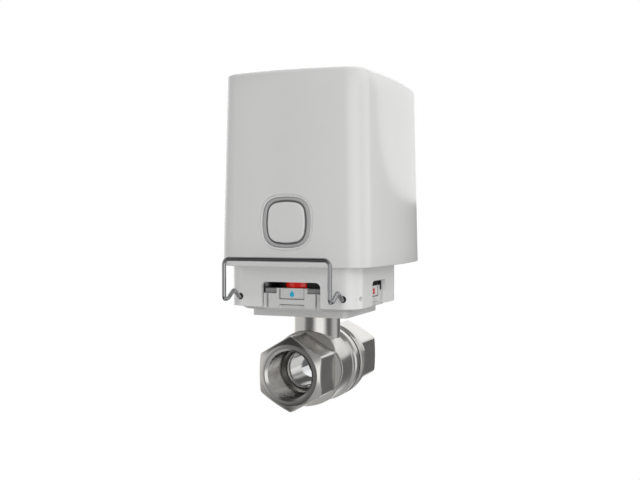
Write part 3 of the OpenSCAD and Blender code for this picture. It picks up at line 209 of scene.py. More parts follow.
def metal(name, colour, rough, mark_mm, mark=0.05, stretch=(1, 1, 1)):
    """Bare or plated metal: roughness that wanders a little, and tool marks of one width."""
    material, tree, shader, where = finish(name)
    shader.inputs["Base Color"].default_value = linear(colour)
    shader.inputs["Metallic"].default_value = 1.0
    run = put(tree, "Mapping", inputs={"Vector": where, "Scale": stretch})
    marks = put(tree, "TexNoise", inputs={"Vector": run.outputs[0], "Scale": 1 / (mark_mm * MM),
                                          "Detail": 3.0})
    cloud = put(tree, "TexNoise", inputs={"Vector": where, "Scale": 1 / (HAZE_MM * MM), "Detail": 4.0})
    both = put(tree, "Math", {"operation": "MULTIPLY_ADD"},
               {0: marks.outputs[0], 1: 0.4, 2: cloud.outputs[0]})
    # The sum runs from about 0.4 to 1, and the roughness from 15% under to 20% over its middle.
    wander = put(tree, "MapRange", inputs={"Value": both.outputs[0], "From Min": 0.4, "From Max": 1.0,
                                           "To Min": rough * 0.85, "To Max": rough * 1.2})
    tree.links.new(wander.outputs[0], shader.inputs["Roughness"])
    relief = put(tree, "Bump", inputs={"Height": marks.outputs[0], "Strength": mark,
                                       "Distance": MARK_DEPTH_MM * MM})
    tree.links.new(relief.outputs[0], shader.inputs["Normal"])
    return material


# Nickel plate over turned brass: satin, with rings left by the lathe round the pipe axis. The
# real rings are about 0.1 mm apart, and are drawn 0.35 mm apart so that they show.
nickel_plate = metal("turned_nickel_plated_brass", "#CBC9C5", 0.21, 0.35, 0.06, (0.12, 1, 0.12))
# The flats of both hexagons are pressed, not turned: no rings, broad faint marks and a tighter gloss.
nickel_flat = metal("pressed_nickel_plated_brass", "#CBC9C5", 0.19, 3.0, 0.0015)


def smoothed(mesh, sharp):
    """Shades a mesh smooth, with edges over so many degrees kept sharp."""
    mesh.shade_smooth()
    mesh.set_sharp_from_angle(angle=math.radians(sharp))


def piece(name, verts_mm, faces, material, body=None):
    """Makes an object from points in millimetres from the stem axis, and hangs it on its body."""
    mesh = bpy.data.meshes.new(name)
    mesh.from_pydata([(x * MM, (y + STEM_Y) * MM, z * MM) for x, y, z in verts_mm], [], faces)
    outward = bmesh.new()
    outward.from_mesh(mesh)
    bmesh.ops.recalc_face_normals(outward, faces=outward.faces)
    outward.to_mesh(mesh)
    outward.free()
    smoothed(mesh, 35)
    mesh.materials.append(material)
    made = bpy.data.objects.new(name, mesh)
    scene.collection.objects.link(made)
    if body:
        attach(made, body)
    return made


def rings_to_faces(count, rows, closed=False):
    """Quads between rows of points, with a cap on the first and last row unless they join."""
    faces = [(j * count + i, j * count + (i + 1) % count, (j + 1) % rows * count + (i + 1) % count,
              (j + 1) % rows * count + i) for j in range(rows if closed else rows - 1) for i in range(count)]
    if not closed:
        faces += [list(range(count))[::-1], [(rows - 1) * count + i for i in range(count)]]
    return faces


def soft_min(a, b, blend):
    """The smaller of two sizes, with the edge between them rounded."""
    h = max(blend - abs(a - b), 0) / blend
    return min(a, b) - h * h * blend / 4


def turned(name, profile, hexagon):
    """A solid round the pipe axis from (distance, radius limit, flats' half width) stations.

    Faces between the two distances in hexagon get the finish of the flats.
    """
    points = []
    for u, limit, flat in profile:
        for a in around(AROUND):
            r = limit
            if flat:
                # Only the two nearest of the flats that face this way bound the radius.
                sides = [flat / c for c in (math.cos(a - facing) for facing in around(6)) if c > 0.2]
                for side in sorted(sides)[1::-1]:
                    r = soft_min(r, side, HEX_FILLET)
            points.append((r * math.cos(a), u, r * math.sin(a)))
    made = piece(name, points, rings_to_faces(AROUND, len(profile)), nickel_plate)
    made.data.materials.append(nickel_flat)
    for face in made.data.polygons:
        if hexagon[0] < face.center.y / MM - STEM_Y < hexagon[1] and len(face.vertices) == 4:
            face.material_index = 1
    return made


def stations(corners, flat, step):
    """Splits a run of (distance, radius limit) corners into close stations with flats."""
    run = []
    for (u0, r0), (u1, r1) in zip(corners, corners[1:]):
        n = max(1, math.ceil(abs(u1 - u0) / step))
        run += [(u0 + (u1 - u0) * i / n, r0 + (r1 - r0) * i / n, flat) for i in range(n)]
    return run + [(corners[-1][0], corners[-1][1], flat)]


def final_mesh(thing):
    """The mesh of an object as its modifiers leave it."""
    bpy.context.view_layer.update()
    return bpy.data.meshes.new_from_object(thing.evaluated_get(bpy.context.evaluated_depsgraph_get()))


def combine(target, tool, operation):
    """Joins or cuts a piece with a tool solid, and throws the tool away."""
    cut = target.modifiers.new("cut", "BOOLEAN")
    cut.operation, cut.solver, cut.object = operation, "EXACT", tool
    done = final_mesh(target)
    target.modifiers.clear()
    target.data = done
    smoothed(done, 32)
    bpy.data.objects.remove(tool)


FLATS, CORNER_R, HEX_FILLET = 13.0, 14.7, 0.5       # 26 mm across the flats, and corners turned off
FACE_U, HEX_END, BARREL_U = -28.2, -11.9, -8.6      # inlet face, end of its hexagon, start of the barrel
FACE_R, FACE_EDGE_R, CHAMFER = 11.65, 11.85, 1.72   # flat ring of the face, and the chamfer behind it
BLEND_LEN, BLEND_STEPS = 2.4, 16                    # where the flats run out into the barrel
BARREL_R, RING_R, SPIGOT_R = 15.3, 15.8, 13.15      # SPIGOT_R is the cap's part that screws in
RING_U, JOINT_U = 6.1, 12.3                         # raised ring of the body, and its joint with the cap
RING_HOLLOW, JOINT_HOLLOW, HOLLOW_DEEP = 3.8, 5.3, 0.9
EDGE, EASE = 0.16, 0.05             # broken edge of the cap's collar, and the lead-in of the other forms
BLANK_R = 9.0                       # the end faces run in to here, before the ways are bored
FINE, COARSE = 0.12, 0.6            # spacing of stations where a form turns, and where it runs straight


def hollow(middle, width, r, u0, u1, n=16):
    """Stations across a rounded hollow turned into a surface of radius r, from u0 to u1."""
    arc = (width * width / 4 + HOLLOW_DEEP * HOLLOW_DEEP) / (2 * HOLLOW_DEEP)
    return [(u, r - HOLLOW_DEEP + arc - math.sqrt(arc * arc - (u - middle) ** 2), None)
            for u in (u0 + (u1 - u0) * i / n for i in range(n + 1))]


chamfer = stations([(FACE_U, BLANK_R), (FACE_U, FACE_R), (FACE_U + EASE, FACE_EDGE_R),
                    (FACE_U + CHAMFER, CORNER_R)], FLATS, FINE)
flats = stations([(FACE_U + CHAMFER + 0.01, CORNER_R), (HEX_END - 0.25, CORNER_R)], FLATS, COARSE)
slope = [(HEX_END + EASE + BLEND_LEN * share, BARREL_R, FLATS + 0.1 + (BARREL_R - FLATS) * share)
         for share in (i / BLEND_STEPS for i in range(-1, BLEND_STEPS + 2))]
barrel = [(BARREL_U, BARREL_R, None), (RING_U - RING_HOLLOW - 0.2, BARREL_R, None)]
barrel += hollow(RING_U - RING_HOLLOW / 2, RING_HOLLOW, BARREL_R, RING_U - RING_HOLLOW + EASE, RING_U + 0.22)
barrel += [(RING_U + 0.4, RING_R, None), (JOINT_U - JOINT_HOLLOW / 2 - 0.15, RING_R, None)]
barrel += hollow(JOINT_U, JOINT_HOLLOW, RING_R, JOINT_U - JOINT_HOLLOW / 2 + EASE, JOINT_U)
barrel += [(JOINT_U, SPIGOT_R + 0.25, None)]
valve = turned("valve_body_forging", chamfer + flats + slope + barrel, (FACE_U + CHAMFER - 0.02, HEX_END))


def lathe(name, profile, axis, steps=144):
    """A solid of revolution from (place, radius) pairs, along the pipe ("y") or the stem ("z")."""
    points = []
    for along, r in profile:
        for a in around(steps):
            points.append((r * math.cos(a), along, r * math.sin(a)) if axis == "y"
                          else (r * math.sin(a), r * math.cos(a), along))
    return piece(name, points, rings_to_faces(steps, len(profile)), nickel_plate)


# The neck starts well inside the barrel, and the threaded stud on it takes the base's nut.
NECK_FOOT, NECK_TOP, NECK_R, NECK_EDGE = 7.5, 21.7, 10.0, 0.2
STUD_TOP, STUD_R, STUD_EDGE = 31.5, 8.0, 0.4
combine(valve, lathe("neck", [
    (NECK_FOOT, NECK_R), (NECK_TOP - NECK_EDGE, NECK_R), (NECK_TOP, NECK_R - NECK_EDGE), (NECK_TOP, STUD_R),
    (STUD_TOP - STUD_EDGE, STUD_R), (STUD_TOP, STUD_R - STUD_EDGE)], "z"), "UNION")
# Radii of the bores: the port thread's crests, the full way, the seats' pockets, the room round
# the ball and the thread for the cap. Then come the seats' backs and the two walls of that room.
# The way runs from a countersink and the port, over a rounded step, to its full bore.
PORT_R, WAY_R, SEAT_R, ROOM_R, CAP_THREAD_R = 9.32, 7.5, 11.25, 12.4, 13.2
SEAT_U, ROOM_FRONT_U, ROOM_BACK_U = 11.3, -8.6, 7.6
combine(valve, lathe("water_way", [
    (FACE_U - 1, 11.45), (FACE_U, 10.25), (FACE_U + 0.78, PORT_R),
    (-15.4, PORT_R), (-14.9, 9.27), (-14.5, 9.12), (-14.15, 8.87), (-12.75, 7.62), (-12.4, 7.52),
    (-12.1, WAY_R), (-SEAT_U, WAY_R), (-SEAT_U, SEAT_R), (ROOM_FRONT_U, SEAT_R), (ROOM_FRONT_U, ROOM_R),
    (ROOM_BACK_U, ROOM_R), (ROOM_BACK_U, CAP_THREAD_R), (JOINT_U + 1, CAP_THREAD_R)], "y"), "DIFFERENCE")
FLANGE_R, FLANGE_TOP, STEM_R = 5.6, 14.2, 4.05
combine(valve, lathe("stem_bore", [(5, FLANGE_R), (FLANGE_TOP, FLANGE_R), (FLANGE_TOP, STEM_R),
                                   (STUD_TOP + 1.5, STEM_R)], "z"), "DIFFERENCE")
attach(valve, "housing")
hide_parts("valve_body")

SPIGOT_U, COLLAR_U, CAP_HEX_U, OUTLET_U = 8.6, 13.2, 18.3, 38.9
OUTLET_CHAMFER, OUTLET_R = 0.7, 13.3
THROAT_FROM, THROAT_TO = 23.0, 24.9         # the way widens to the outlet's thread between these
cap = turned(
    "end_cap_forging",
    [(SPIGOT_U, SPIGOT_R - 0.15, None), (SPIGOT_U + 0.15, SPIGOT_R, None), (COLLAR_U, SPIGOT_R, None)]
    + hollow(JOINT_U, JOINT_HOLLOW, RING_R, COLLAR_U, JOINT_U + JOINT_HOLLOW / 2 - EASE)
    + [(JOINT_U + JOINT_HOLLOW / 2 + 0.15, RING_R, None), (CAP_HEX_U - EDGE, RING_R, None),
       (CAP_HEX_U, RING_R - EDGE, None)]
    + stations([(CAP_HEX_U, CORNER_R), (OUTLET_U - OUTLET_CHAMFER, CORNER_R)], FLATS, COARSE)
    + stations([(OUTLET_U - OUTLET_CHAMFER + 0.02, CORNER_R), (OUTLET_U, OUTLET_R), (OUTLET_U, BLANK_R)],
               FLATS, FINE),
    (CAP_HEX_U, OUTLET_U - OUTLET_CHAMFER))
combine(cap, lathe("outlet_way", [
    (ROOM_BACK_U, SEAT_R), (SEAT_U, SEAT_R), (SEAT_U, WAY_R), (THROAT_FROM, WAY_R), (THROAT_TO, PORT_R),
    (OUTLET_U - OUTLET_CHAMFER, PORT_R), (OUTLET_U, 9.91), (OUTLET_U + 1, 10.75)], "y"), "DIFFERENCE")
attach(cap, "housing")
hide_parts("end_cap")

# Ball, stem, seats and seals
# A chromed brass ball turns between two white PTFE seats; the nickel plated stem is put in from
# inside and runs through a thrust washer and two O-rings. A fibre-filled gasket seals the cap.
MOTTLE_MM = 14.0        # width of the faint clouds in a moulded part's colour


def dress(material, *names):
    """Gives CAD nodes their finish."""
    for name in names:
        data = nodes[name].data
        data.materials.clear()
        data.materials.append(material)
        smoothed(data, 30)


def moulded(name, colour, rough, grain_mm, depth_mm=0.01, change=0.06, ior=1.5):
    """Moulded plastic or rubber: a faint mottle in the colour, and the mould's spark texture."""
    material, tree, shader, where = finish(name)
    grain = put(tree, "TexNoise", inputs={"Vector": where, "Scale": 1 / (grain_mm * MM), "Detail": 4.0})
    cloud = put(tree, "TexNoise", inputs={"Vector": where, "Scale": 1 / (MOTTLE_MM * MM), "Detail": 3.0})
    tone = put(tree, "Mix", {"data_type": "RGBA"}, {"Factor": cloud.outputs[0]})
    base = linear(colour)
    tone.inputs["A"].default_value = tuple(c * (1 - change) for c in base[:3]) + (1,)
    tone.inputs["B"].default_value = tuple(min(c * (1 + change), 1) for c in base[:3]) + (1,)
    tree.links.new(tone.outputs["Result"], shader.inputs["Base Color"])
    wander = put(tree, "MapRange", inputs={"Value": grain.outputs[0], "From Min": 0.3, "From Max": 0.7,
                                           "To Min": rough * 0.9, "To Max": rough * 1.12})
    tree.links.new(wander.outputs[0], shader.inputs["Roughness"])
    relief = put(tree, "Bump", inputs={"Height": grain.outputs[0], "Strength": 0.4,
                                       "Distance": depth_mm * MM})
    tree.links.new(relief.outputs[0], shader.inputs["Normal"])
    shader.inputs["IOR"].default_value = ior
    return material


chrome_ball = metal("mirror_polished_chrome_plate", "#D6D8DA", 0.06, 2.0, 0.01)
stem_metal = metal("turned_nickel_plated_stem_brass", "#C8C2B4", 0.25, 0.3, 0.08, (0.15, 0.15, 1))
ptfe = moulded("skived_white_ptfe", "#EFEFEA", 0.45, 0.5, ior=1.35)
rubber = moulded("moulded_black_nitrile_rubber", "#151515", 0.62, 0.25, ior=1.52)
dress(chrome_ball, "ball")
dress(stem_metal, "stem")
dress(ptfe, "ball_seats", "stem_washer")
dress(rubber, "joint_seal", "stem_orings", "shaft_seal", "housing_seal")

# Mounting base
# A glass-filled nylon plate pair, moulded light grey, that a thin steel nut clamps on the neck.
# Its four tabs carry pad printed marks, and its four posts are drilled for the clip.


def eased(node, name, width_mm, material, steps=2):
    """Stands a copy of a CAD node in its place, with its sharp edges rounded as a mould leaves them."""
    data = nodes[node].data.copy()
    data.name = name
    shape = bmesh.new()
    shape.from_mesh(data)
    bmesh.ops.remove_doubles(shape, verts=shape.verts, dist=0.002 * MM)
    bmesh.ops.dissolve_limit(shape, angle_limit=math.radians(0.4), verts=shape.verts, edges=shape.edges)
    shape.to_mesh(data)
    shape.free()
    data.shade_smooth()
    made = bpy.data.objects.new(name, data)
    scene.collection.objects.link(made)
    bevel = made.modifiers.new("edge", "BEVEL")
    bevel.width, bevel.segments, bevel.angle_limit = width_mm * MM, steps, math.radians(40)
    level = made.modifiers.new("flat_faces", "WEIGHTED_NORMAL")
    level.weight = 100
    made.data = final_mesh(made)
    made.modifiers.clear()
    made.data.materials.clear()
    made.data.materials.append(material)
    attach(made, nodes[node]["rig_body"])
    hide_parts(node)
    return made


grey_nylon = moulded("smooth_moulded_grey_nylon", "#E2E2E1", 0.22, 0.3, 0.003, 0.02, 1.53)
zinc_plate = metal("zinc_plated_pressed_steel", "#BFC3C6", 0.3, 0.5, 0.1)
print_blue = moulded("pad_printed_cyan_ink", "#2BC0E4", 0.4, 0.1)
print_red = moulded("pad_printed_red_ink", "#E8303A", 0.4, 0.1)
eased("mounting_base", "mounting_base_moulding", 0.12, grey_nylon)
dress(zinc_plate, "base_nut", "indicator_washer", "cover_screws", "idler_pin", "motor_shaft", "motor_screws",
      "gearbox_spacers", "gearbox_screws", "board_screws", "lid_screws")
dress(print_blue, "label_open")
dress(print_red, "label_closed")

# Label shadow lines
# Painted shadow: the dark lines round the label cards are shade in the edges of each tab's pocket, painted as
# a thin strip of grey. It runs along three sides of the card in each tab's pocket, and in the corner over the
# ledge below it.
painted_shadow_grey = moulded("painted_shadow_line_grey", "#777777", 0.5, 0.3, 0.01, 0.05)
CARD_X, CARD_Z, CARD_TOP, SHADOW_LINE, SHADOW_LINE_T = 5.3, 29.0, 33.1, 0.34, 0.08
LEDGE_Z, LEDGE_BACK = 27.1, 0.3
POCKET_FLOORS = (24.85, 25.1, 24.85, 25.1)      # distance from the stem: front, right, rear and left tab
card_shadow_line = [(-CARD_X, CARD_TOP), (-CARD_X, CARD_Z), (CARD_X, CARD_Z), (CARD_X, CARD_TOP),
             (CARD_X - SHADOW_LINE, CARD_TOP), (CARD_X - SHADOW_LINE, CARD_Z + SHADOW_LINE),
             (SHADOW_LINE - CARD_X, CARD_Z + SHADOW_LINE), (SHADOW_LINE - CARD_X, CARD_TOP)]
ledge_shadow_line = [(-CARD_X, LEDGE_Z), (-CARD_X, LEDGE_Z - SHADOW_LINE), (CARD_X, LEDGE_Z - SHADOW_LINE), (CARD_X, LEDGE_Z)]


def solids(name, stacks, material, body=None, closed=False):
    """One object of one or more solids, each through rows of points; where closed, its ends join."""
    points, faces = [], []
    for rows in stacks:
        faces += [[i + len(points) for i in face] for face in rings_to_faces(len(rows[0]), len(rows), closed)]
        points += [point for row in rows for point in row]
    return piece(name, points, faces, material, body)


shadow_line_stacks = []
for quarter, pocket_floor in enumerate(POCKET_FLOORS):
    spin = Matrix.Rotation(math.pi / 2 * quarter, 3, "Z")
    for outline, back in ((card_shadow_line, 0), (ledge_shadow_line, LEDGE_BACK)):
        shadow_line_stacks.append([[spin @ Vector((x, -out, z)) for x, z in outline]
                            for out in (pocket_floor - back - 0.02, pocket_floor - back + SHADOW_LINE_T)])
shadow_lines = solids("label_painted_shadow_lines", shadow_line_stacks, painted_shadow_grey, "housing")

# Position indicator
# A matt black disc on the square of the stem, and a glossy red ABS pointer snapped into it.
# The pointer shows in the window over the drop when the water runs.
black_abs = moulded("matt_moulded_black_abs", "#101011", 0.42, 0.3)
red_abs = moulded("polished_moulded_red_abs_with_painted_glow", "#FB1A1C", 0.1, 1.5, 0.004, 0.04, 1.54)
# Painted light: the red glows a little, though it is no lamp, so that the pointer looks brighter in its
# shaded window.
painted_glow = red_abs.node_tree.nodes["Principled BSDF"].inputs
painted_glow["Emission Color"].default_value = linear("#FF2A1C")
painted_glow["Emission Strength"].default_value = 0.16
dress(black_abs, "indicator_disc", "limit_switches", "button_switch", "buzzer", "battery_holder",
      "battery_lid")
eased("position_pointer", "position_pointer_moulding", 1.0, red_abs, steps=5)

# Window shade blocks
# Painted shade: the dark steps beside the front and rear label tabs are shade in the view into the housing,
# painted as small blocks of matt grey that stand in them. The front edges are a little rounded.
painted_shade_grey = moulded("painted_shade_matt_grey", "#9A9A9A", 0.85, 0.25, 0.06, 0.12, 1.45)
SHADE_BLOCK_NEAR, SHADE_BLOCK_FAR, SHADE_BLOCK_FOOT, SHADE_BLOCK_TOP = 6.5, 11.8, 31.35, 33.25
SHADE_BLOCK_OUT, SHADE_BLOCK_IN, SHADE_BLOCK_EASE = 24.2, 23.0, 0.2


def shade_block_row(left, right, y, ease):
    """The outline of a block at one depth, drawn in by ease."""
    return [(x, y, z) for x, z in ((left + ease, SHADE_BLOCK_FOOT + ease), (right - ease, SHADE_BLOCK_FOOT + ease),
                                   (right - ease, SHADE_BLOCK_TOP - ease), (left + ease, SHADE_BLOCK_TOP - ease))]


shade_block_stacks = [[shade_block_row(left, right, outward * out, ease)
                for out, ease in ((SHADE_BLOCK_OUT, SHADE_BLOCK_EASE), (SHADE_BLOCK_OUT - SHADE_BLOCK_EASE, 0), (SHADE_BLOCK_IN, 0))]
               for outward in (-1, 1) for left, right in ((SHADE_BLOCK_NEAR, SHADE_BLOCK_FAR), (-SHADE_BLOCK_FAR, -SHADE_BLOCK_NEAR))]
shade_blocks = solids("window_painted_shade_blocks", shade_block_stacks, painted_shade_grey, "housing")

# Lower housing
# The floor of the actuator with its four-windowed skirt, moulded in white ABS with a smooth skin.
# The output shaft's acetal bush is pressed into the floor.
white_abs = moulded("smooth_moulded_white_abs", "#F2F2F1", 0.16, 2.0, 0.004, 0.01, 1.54)
eased("lower_housing", "lower_housing_moulding", 0.18, white_abs)
acetal = moulded("natural_moulded_acetal", "#EFEBDD", 0.33, 0.8, ior=1.48)
dress(acetal, "output_bush", "output_gear", "idler_gear", "switch_plunger", "board_connectors")

# Gear train and motor
# A small gear motor with a drawn steel can stands on a punched steel plate; its brass pinion
# drives the acetal idler and output gear.
cut_brass = metal("bright_cut_brass", "#D9B36A", 0.22, 0.4, 0.08)
steel_can = metal("drawn_steel_can", "#A9ABAD", 0.26, 0.6, 0.1, (1, 1, 0.1))
steel_plate = metal("punched_galvanised_steel", "#9C9FA2", 0.38, 1.2, 0.15)
dress(cut_brass, "motor_pinion", "antenna", "battery_contacts")
dress(steel_can, "gear_motor")
dress(steel_plate, "gearbox_plate")

# Circuit board
# Glass-epoxy board under green solder mask with a tinned radio can, a strip antenna, diodes
# round the switch, and plugs for the motor and the cells.
solder_mask = moulded("green_solder_mask_on_glass_epoxy", "#0F5A33", 0.25, 0.35, 0.006, 0.12, 1.55)
tinned_can = metal("tinned_drawn_sheet", "#C9CBCC", 0.28, 0.5, 0.08)
diode_resin = moulded("clear_cast_diode_resin", "#F4F3E4", 0.15, 1.0)
dress(solder_mask, "main_board")
dress(tinned_can, "radio_module")
dress(diode_resin, "status_leds")

# Cells
# Four lithium cells in orange shrink sleeves stand in a black moulded holder on the gear plate,
# between metal contacts and under a screwed lid.
cell_sleeve = moulded("orange_shrink_sleeve", "#E0742A", 0.22, 2.0, ior=1.52)
dress(cell_sleeve, "batteries")

# Cover
# One deep moulding in gloss white ABS, 2.4 mm thick, drafted to the top, with all four sides
# bowed outward. Its posts take four screws from below and carry the circuit board.
COVER_W, COVER_D, COVER_U, COVER_Z, COVER_H = 66.9, 84.7, 11.05, 41.8, 75.8
DRAFT, COVER_R, COVER_BOW, WALL, TOP_EDGE = 1.45, 10.0, 2.1, 2.4, 1.4
LIP = 0.35              # rounding of the bottom edge
FILLET, CEILING_EDGE = 1.2, 0.3         # corner between the walls and the ceiling inside


def bowed(w, d, r, bow, n=14):
    """Outline of a rounded rectangle whose sides bow outward, as points round its middle."""
    arc = []
    for half, depth, flip in ((d / 2 - r, w / 2, False), (w / 2 - r, d / 2, True)):
        big = (half * half + bow * bow) / (2 * bow)
        sweep = math.asin(half / big)
        turns = [sweep * i / n for i in range(n + 1)]
        side = [(depth - big + big * math.cos(t), big * math.sin(t)) for t in turns]
        arc.append(([(y, x) for x, y in side] if flip else side, sweep))
    (side_x, ax), (side_y, ay) = arc
    e0, e1 = Vector(side_x[-1]), Vector(side_y[-1])
    k = 0.39 * (e1 - e0).length         # length of the two handles of the corner's curve
    c0, c1 = e0 + k * Vector((-math.sin(ax), math.cos(ax))), e1 + k * Vector((math.cos(ay), -math.sin(ay)))
    corner = [(1 - t) ** 3 * e0 + 3 * (1 - t) ** 2 * t * c0 + 3 * (1 - t) * t * t * c1 + t ** 3 * e1
              for t in (i / (2 * n) for i in range(1, 2 * n))]
    quarter = side_x + [tuple(p) for p in corner] + side_y[::-1]
    loop = quarter[:-1]
    loop += [(-x, y) for x, y in quarter[::-1]][:-1]
    loop += [(-x, -y) for x, y in quarter][:-1]
    return loop + [(x, -y) for x, y in quarter[::-1]][:-1]


def cover_row(z, inset, level=None):
    """One row of the cover: its outline at height z, drawn in by inset, laid at the level given."""
    d = 2 * DRAFT * (z - COVER_Z) / COVER_H + 2 * inset
    outline = bowed(COVER_W - d, COVER_D - d, max(COVER_R - inset, 2), COVER_BOW)
    return [(x, y + COVER_U, z if level is None else level) for x, y in outline]


def drawn_in(row, share):
    """A flat row again, shrunk towards the cover's middle."""
    return [(x * share, COVER_U + (y - COVER_U) * share, z) for x, y, z in row]


COVER_TOP = COVER_Z + COVER_H
CEILING = COVER_TOP - WALL
ceiling = cover_row(COVER_TOP, WALL + FILLET, CEILING)
inside = [drawn_in(ceiling, 0.05), drawn_in(ceiling, 0.6), ceiling,
          cover_row(COVER_TOP, WALL + CEILING_EDGE, CEILING - CEILING_EDGE),
          cover_row(COVER_TOP, WALL, CEILING - FILLET), cover_row(COVER_Z + LIP, WALL),
          cover_row(COVER_Z, WALL - LIP)]
lip = [cover_row(COVER_Z + LIP * (1 - math.sin(a)), LIP * (1 - math.cos(a)))
       for a in (math.pi / 2 * (1 - i / 4) for i in range(5))]
walls = [cover_row(COVER_Z + LIP + (COVER_H - LIP - TOP_EDGE) * i / 12, 0) for i in range(1, 13)]
rounding = [cover_row(COVER_TOP, TOP_EDGE * (1 - math.cos(a)), COVER_TOP - TOP_EDGE * (1 - math.sin(a)))
            for a in (math.pi / 2 * i / 8 for i in range(1, 9))]
crown = [drawn_in(rounding[-1], share) for share in (0.98, 0.7, 0.35, 0.05)]
# Gloss white ABS off a polished mould: bright reflections, with a barely rippled skin.
gloss_white = moulded("polished_moulded_white_abs", "#EDEDEC", 0.11, 2.5, 0.003, 0.008, 1.54)
cover = solids("cover_shell", [inside + lip + walls + rounding + crown], gloss_white)

# Hole, posts and light ring
# The cover is moulded with a hole for the button and, inside, posts with ribs and screw holes.
# A milky grey polycarbonate light guide fills the hole round the cap, behind an open gap.
BUTTON_Z, BUTTON_BOW = 59.0, 0.35
RING_W, RING_H, RING_CORNER = 20.0, 19.5, 5.6
CAP_W, CAP_H, CAP_CORNER, GAP = 15.4, 15.6, 3.8, 0.7
SCREW_X, SCREW_U, POST_Z, POST_TOP, POST_R = 22.5, (-18.5, 45.0), 44.75, 56.75, 3.2
BOARD_X, BOARD_Z, BOARD_U, BOARD_POST_R = 16.0, (50.5, 101.5), -22.0, 2.4
SCREW_HOLE_FROM, SCREW_HOLE_TO, SCREW_HOLE_R = 43.0, 54.2, 1.15
BOARD_HOLE_DEEP, BOARD_HOLE_R = 4.5, 0.85
RIB_FROM, RIB_TO, RIB_HALF = 24.2, (31.25, 29.25), 1.0      # inner end, outer end at each post, half width


def front_at(x, z):
    """How far in front of the stem the cover's front face lies."""
    half, inset = COVER_W / 2 - COVER_R, DRAFT * (z - COVER_Z) / COVER_H
    big = (half * half + COVER_BOW * COVER_BOW) / (2 * COVER_BOW)
    return COVER_U - COVER_D / 2 + inset + big - math.sqrt(big * big - x * x)


def face_row(grow, back, w=RING_W, h=RING_H, r=RING_CORNER, flat=None):
    """An outline grown by grow, laid on the cover's front face, or flat, and moved back from it."""
    outline = bowed(w + 2 * grow, h + 2 * grow, r + grow, BUTTON_BOW, 10)
    faces_at = [front_at(x, BUTTON_Z + z) if flat is None else flat for x, z in outline]
    return [(x, face_y + back, BUTTON_Z + z) for (x, z), face_y in zip(outline, faces_at)]


# Each row is how far the outline has grown, and how far it lies behind the face: the hole flares
# at its edge, and leaves room for the guide.
combine(cover, solids("button_hole", [[face_row(0.9, -0.6), face_row(0.62, -0.02), face_row(0.55, 0.1),
                                       face_row(0.02, 0.16), face_row(0.02, 5)]], gloss_white), "DIFFERENCE")
# A fine line is let into the cover round the hole, where the mould's insert for the button ends.
combine(cover, solids("insert_line", [[face_row(1.22, -0.2), face_row(0.98, 0.3), face_row(0.74, -0.2)]],
                      gloss_white, closed=True), "DIFFERENCE")


def rods(name, ends, sides=36):
    """One object of many round rods, each from a start to an end in mm with its radius."""
    stacks = []
    for start, end, r in ends:
        along = (Vector(end) - Vector(start)).normalized()
        p = along.orthogonal().normalized()
        q = along.cross(p)
        stacks.append([[Vector(at) + r * (p * math.cos(t) + q * math.sin(t)) for t in around(sides)]
                       for at in (start, end)])
    return solids(name, stacks, gloss_white)


posts = [((x, u, POST_Z), (x, u, POST_TOP), POST_R) for x in (-SCREW_X, SCREW_X) for u in SCREW_U]
posts += [((x, BOARD_U, z), (x, front_at(x, z) + WALL / 2, z), BOARD_POST_R)
          for x in (-BOARD_X, BOARD_X) for z in BOARD_Z]
combine(cover, rods("cover_posts", posts), "UNION")
ribs = [[[(side * x, u + y, z) for x, y in ((RIB_FROM, -RIB_HALF), (end, -RIB_HALF),
                                            (end, RIB_HALF), (RIB_FROM, RIB_HALF))]
         for z in (POST_Z, POST_TOP)] for side in (-1, 1) for u, end in zip(SCREW_U, RIB_TO)]
combine(cover, solids("cover_ribs", ribs, gloss_white), "UNION")
holes = [((x, u, SCREW_HOLE_FROM), (x, u, SCREW_HOLE_TO), SCREW_HOLE_R)
         for x in (-SCREW_X, SCREW_X) for u in SCREW_U]
holes += [((x, BOARD_U + 1, z), (x, BOARD_U - BOARD_HOLE_DEEP, z), BOARD_HOLE_R)
          for x in (-BOARD_X, BOARD_X) for z in BOARD_Z]
combine(cover, rods("cover_holes", holes), "DIFFERENCE")
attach(cover, "housing")
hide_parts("cover")

milky_guide = moulded("milky_grey_moulded_polycarbonate", "#BDBDBD", 0.3, 0.6, 0.004, 0.02, 1.58)


def gap_row(grow, back, flat=None):
    """An outline grown from the edge of the hole for the cap."""
    return face_row(GAP + grow, back, CAP_W, CAP_H, CAP_CORNER, flat=flat)


# Back of the guide, front of the flange that holds it in, and how far the flange stands out
GUIDE_BACK, GUIDE_FLANGE_U, GUIDE_FLANGE = -26.7, -27.5, 1.4
guide = solids("light_guide", [[
    face_row(0, 0.9), face_row(-0.02, 0.75), face_row(-0.12, 0.5), face_row(-0.32, 0.22),
    face_row(-0.55, 0.1), gap_row(0.3, 0.16), gap_row(0.08, 0.3), gap_row(0, 0.6),
    gap_row(0, 0, flat=GUIDE_BACK), face_row(GUIDE_FLANGE, 0, flat=GUIDE_BACK),
    face_row(GUIDE_FLANGE, 0, flat=GUIDE_FLANGE_U), face_row(0, 0, flat=GUIDE_FLANGE_U)]],
    milky_guide, closed=True)
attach(guide, "housing")
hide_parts("light_ring")

# Button gap shade
# Painted shade: the dark bottom of the gap round the cap is shade, painted as a dark grey ring laid on the
# light guide behind the gap.
gap_shade_grey = moulded("painted_shade_dark_grey_gap_lining", "#6C6C6C", 0.5, 0.3)
gap_shade_ring = solids("button_gap_painted_shade", [[
    gap_row(-0.6, 0.42), gap_row(-0.6, 0.9), gap_row(0, 1.3), gap_row(0, 0.5)]], gap_shade_grey, closed=True)
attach(gap_shade_ring, "housing")

